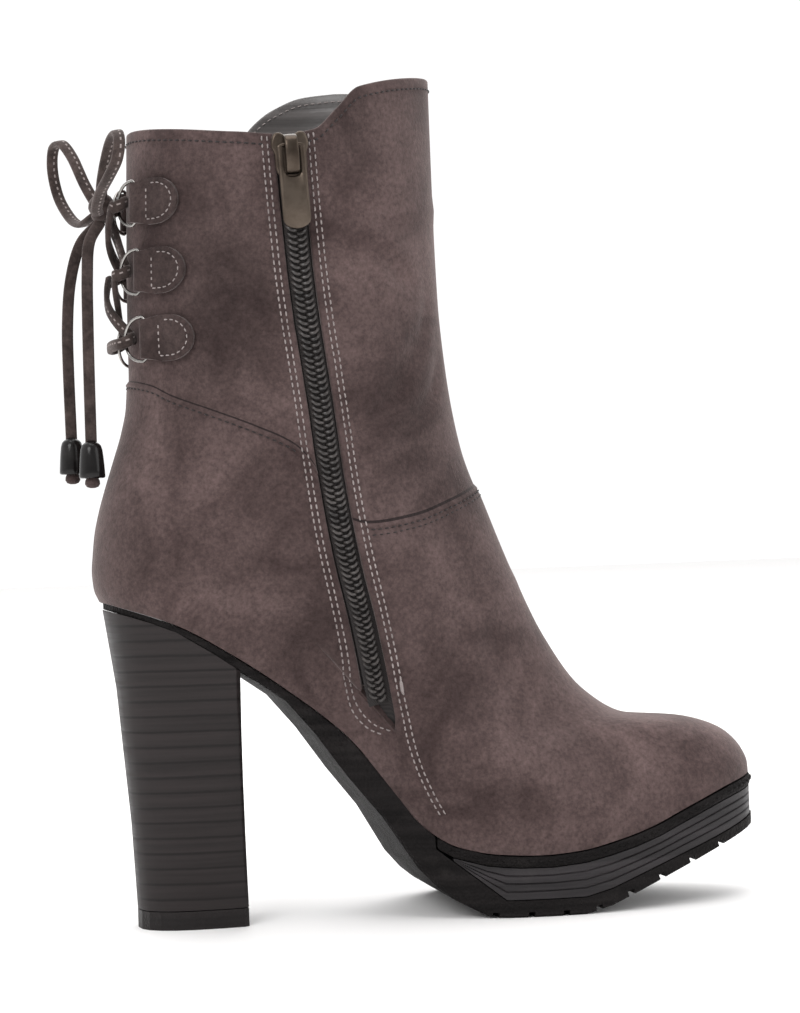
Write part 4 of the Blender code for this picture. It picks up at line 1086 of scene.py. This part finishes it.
def throughRing(side, row):
    # over a ring's arc, round it and out under it; stops are angle, height and distance out
    tip = row["bar"] - ringForm["depth"] / laceForm["arc"]
    stops = []
    for k in range(7):
        turn = pi * (1 - k / 6)
        stops.append((side * (tip + laceForm["bend"] * sin(turn) / laceForm["arc"]),
                      row["z"] + 1.2 * cos(turn),
                      ringForm["tipHeight"] - laceForm["bend"] * cos(turn)))
    return stops


def laceHalf(side):
    top, middle, bottom = ringRows
    crossing = 3.0 if side == lateral else 6.1
    stops = throughRing(side, bottom)
    stops.append((0.0, (bottom["z"] + middle["z"]) / 2, crossing))
    stops += throughRing(-side, middle)
    stops.append((0.0, (middle["z"] + top["z"]) / 2, crossing))
    stops += throughRing(side, top)
    stops.append((side * 1.8, top["z"] + 1.2, 2.9))
    return stops


def makeCrossings():
    arc = laceForm["arc"]
    bar = [(0.0, ringRows[-1]["z"] - 1.4, 5.8)]
    stops = laceHalf(medial)[::-1] + bar + laceHalf(lateral)
    flat = smoothRoute([(a * arc, z, out) for a, z, out in stops], 1.0)
    route = [skin(p.x / arc, p.y, p.z) for p in flat]
    points, faces, uvs = sweepRun(route, [Vector((0, 0, 1))] * len(route),
                                  flatSection(laceForm["width"], laceForm["thick"]))
    addPiece("laceCrossings", points, faces, [looks["lace"]], "suede", replaced=("lace_crossings",),
             uvs=uvs)


for side in (medial, lateral):
    for number, row in enumerate(ringRows, 1):
        makeTab(side, number, row)
        makeRing(side, number, row)
makeCrossings()
print("tabs, rings and lacing are made")


# bow: knot, two loops and two hanging ends with bell tips
tipForm = dict(
    profile=((-0.8, 1.3), (-0.2, 2.0), (0.2, 2.6), (0.9, 3.2), (2.2, 3.6), (4.4, 3.85), (6.8, 4.05),
             (9.2, 4.2), (10.9, 4.28), (11.3, 4.1), (11.5, 3.6), (11.2, 2.4), (11.5, 2.0), (12.3, 2.4),
             (13.4, 2.5), (14.3, 1.9), (14.7, 0.8)),
    sides=32, drop=0.3, suedeFrom=12,
)


def makeKnot():
    points, rings, around = [], 17, 28
    place, half = Vector(bow["knot"]), bow["knotHalf"]
    for i in range(rings):
        lift = pi * (i + 0.5) / rings
        for k in range(around):
            turn = 2 * pi * k / around
            # wraps of lace round the knot, pulled in between
            wrap = (1 - 0.20 * cos(2.5 * lift + 0.8 * sin(turn)) ** 8
                    - 0.10 * cos(turn + lift) ** 6)
            points.append(place + Vector((half[0] * sin(lift) * cos(turn) * wrap,
                                          half[1] * sin(lift) * sin(turn) * wrap,
                                          -half[2] * cos(lift))))
    return addPiece("bowKnot", points, ringFaces(rings, around), [looks["laceEnd"]], "suede",
                    replaced=("bow_knot",))


def makeTip(side):
    x, y, z = bow["ends"][side][-1]
    points = []
    for drop, radius in tipForm["profile"]:
        points += [Vector((x + radius * a, y + radius * b, z - tipForm["drop"] - drop))
                   for a, b in circle(tipForm["sides"])]
    n, rings = tipForm["sides"], len(tipForm["profile"])
    # the lace's own end shows below the bell
    marks = [int(r >= tipForm["suedeFrom"]) for r in range(rings - 1) for _ in range(n)] + [0, 1]
    word = sideWords[side]
    return addPiece(f"laceTip_{word}", points, ringFaces(rings, n), [looks["gloss"], looks["tab"]],
                    "black_gloss", replaced=(f"lace_tip_{word}",), marks=marks)


def makeLace(kind, node, side, stops, **facts):
    word = sideWords[side]
    route = smoothRoute(stops, 1.2)
    points, faces, uvs = sweepRun(route, [Vector((1, 0, 0.15))] * len(route),
                                  flatSection(laceForm["width"], laceForm["thick"]))
    look = looks["lace" if kind == "bowLoop" else "laceEnd"]
    piece = addPiece(f"{kind}_{word}", points, faces, [look], "suede", replaced=(f"{node}_{word}",),
                     uvs=uvs)
    path = [tuple(p * mm) for p in route]
    length = sum((q - p).length for p, q in zip(route, route[1:])) * mm
    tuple(path[0])
    print(kind, word, round(length, 4))


knot = makeKnot()
for side in (medial, lateral):
    makeLace("bowLoop", "bow_loop", side, bow["loops"][side], far_end="knot",
             with_pieces=[knot] if side == medial else [])
    makeLace("laceEnd", "lace_end", side, bow["ends"][side], far_end="fitting", with_pieces=[makeTip(side)])
print("bow is made")


def reshaped(nodeName, name, look, slotName, change):
    # a kept node's own mesh with a small change to it
    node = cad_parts[nodeName]
    shape = bmesh.new()
    shape.from_mesh(node.data)
    bmesh.ops.remove_doubles(shape, verts=shape.verts, dist=1e-6)
    shape.normal_update()
    change(shape)
    shape.verts.index_update()
    points = [node.matrix_world @ vert.co / mm for vert in shape.verts]
    faces = [[vert.index for vert in face.verts] for face in shape.faces]
    shape.free()
    return addPiece(name, points, faces, [looks[look]], slotName, replaced=(nodeName,))


def raiseTop(shape):
    # the heel's top meets the outsole
    for vert in {vert for face in shape.faces if face.normal.z > 0.3 for vert in face.verts}:
        vert.co.z += 0.55 * mm


def drawIn(shape):
    # the insole keeps clear of the upper's wall
    away = [Vector((vert.normal.x, vert.normal.y, 0)) for vert in shape.verts]
    for vert, side in zip(shape.verts, away):
        if side.length > 0.25:
            vert.co -= side.normalized() * 0.9 * mm


def softenSides(shape):
    # shallow grooves along the midsole's side
    sides = [vert for vert in shape.verts
             if vert.link_faces and all(abs(face.normal.z) < 0.75 for face in vert.link_faces)]
    for _ in range(2):
        bmesh.ops.smooth_vert(shape, verts=sides, factor=0.5, use_axis_x=True, use_axis_y=True)


reshaped("heel_block", "heelBody", "heel", "stacked_heel", raiseTop)
reshaped("insole", "insoleLining", "lining", "lining", drawIn)
reshaped("midsole", "midsoleBody", "midsole", "dark_midsole", softenSides)
# nodes whose own shape shows
for name, look in (("rand", "rubber"), ("outsole", "rubber"), ("heel_top_piece", "lift")):
    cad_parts[name].data.materials[0] = looks[look]

bpy.context.scene.view_settings.view_transform = "Standard"
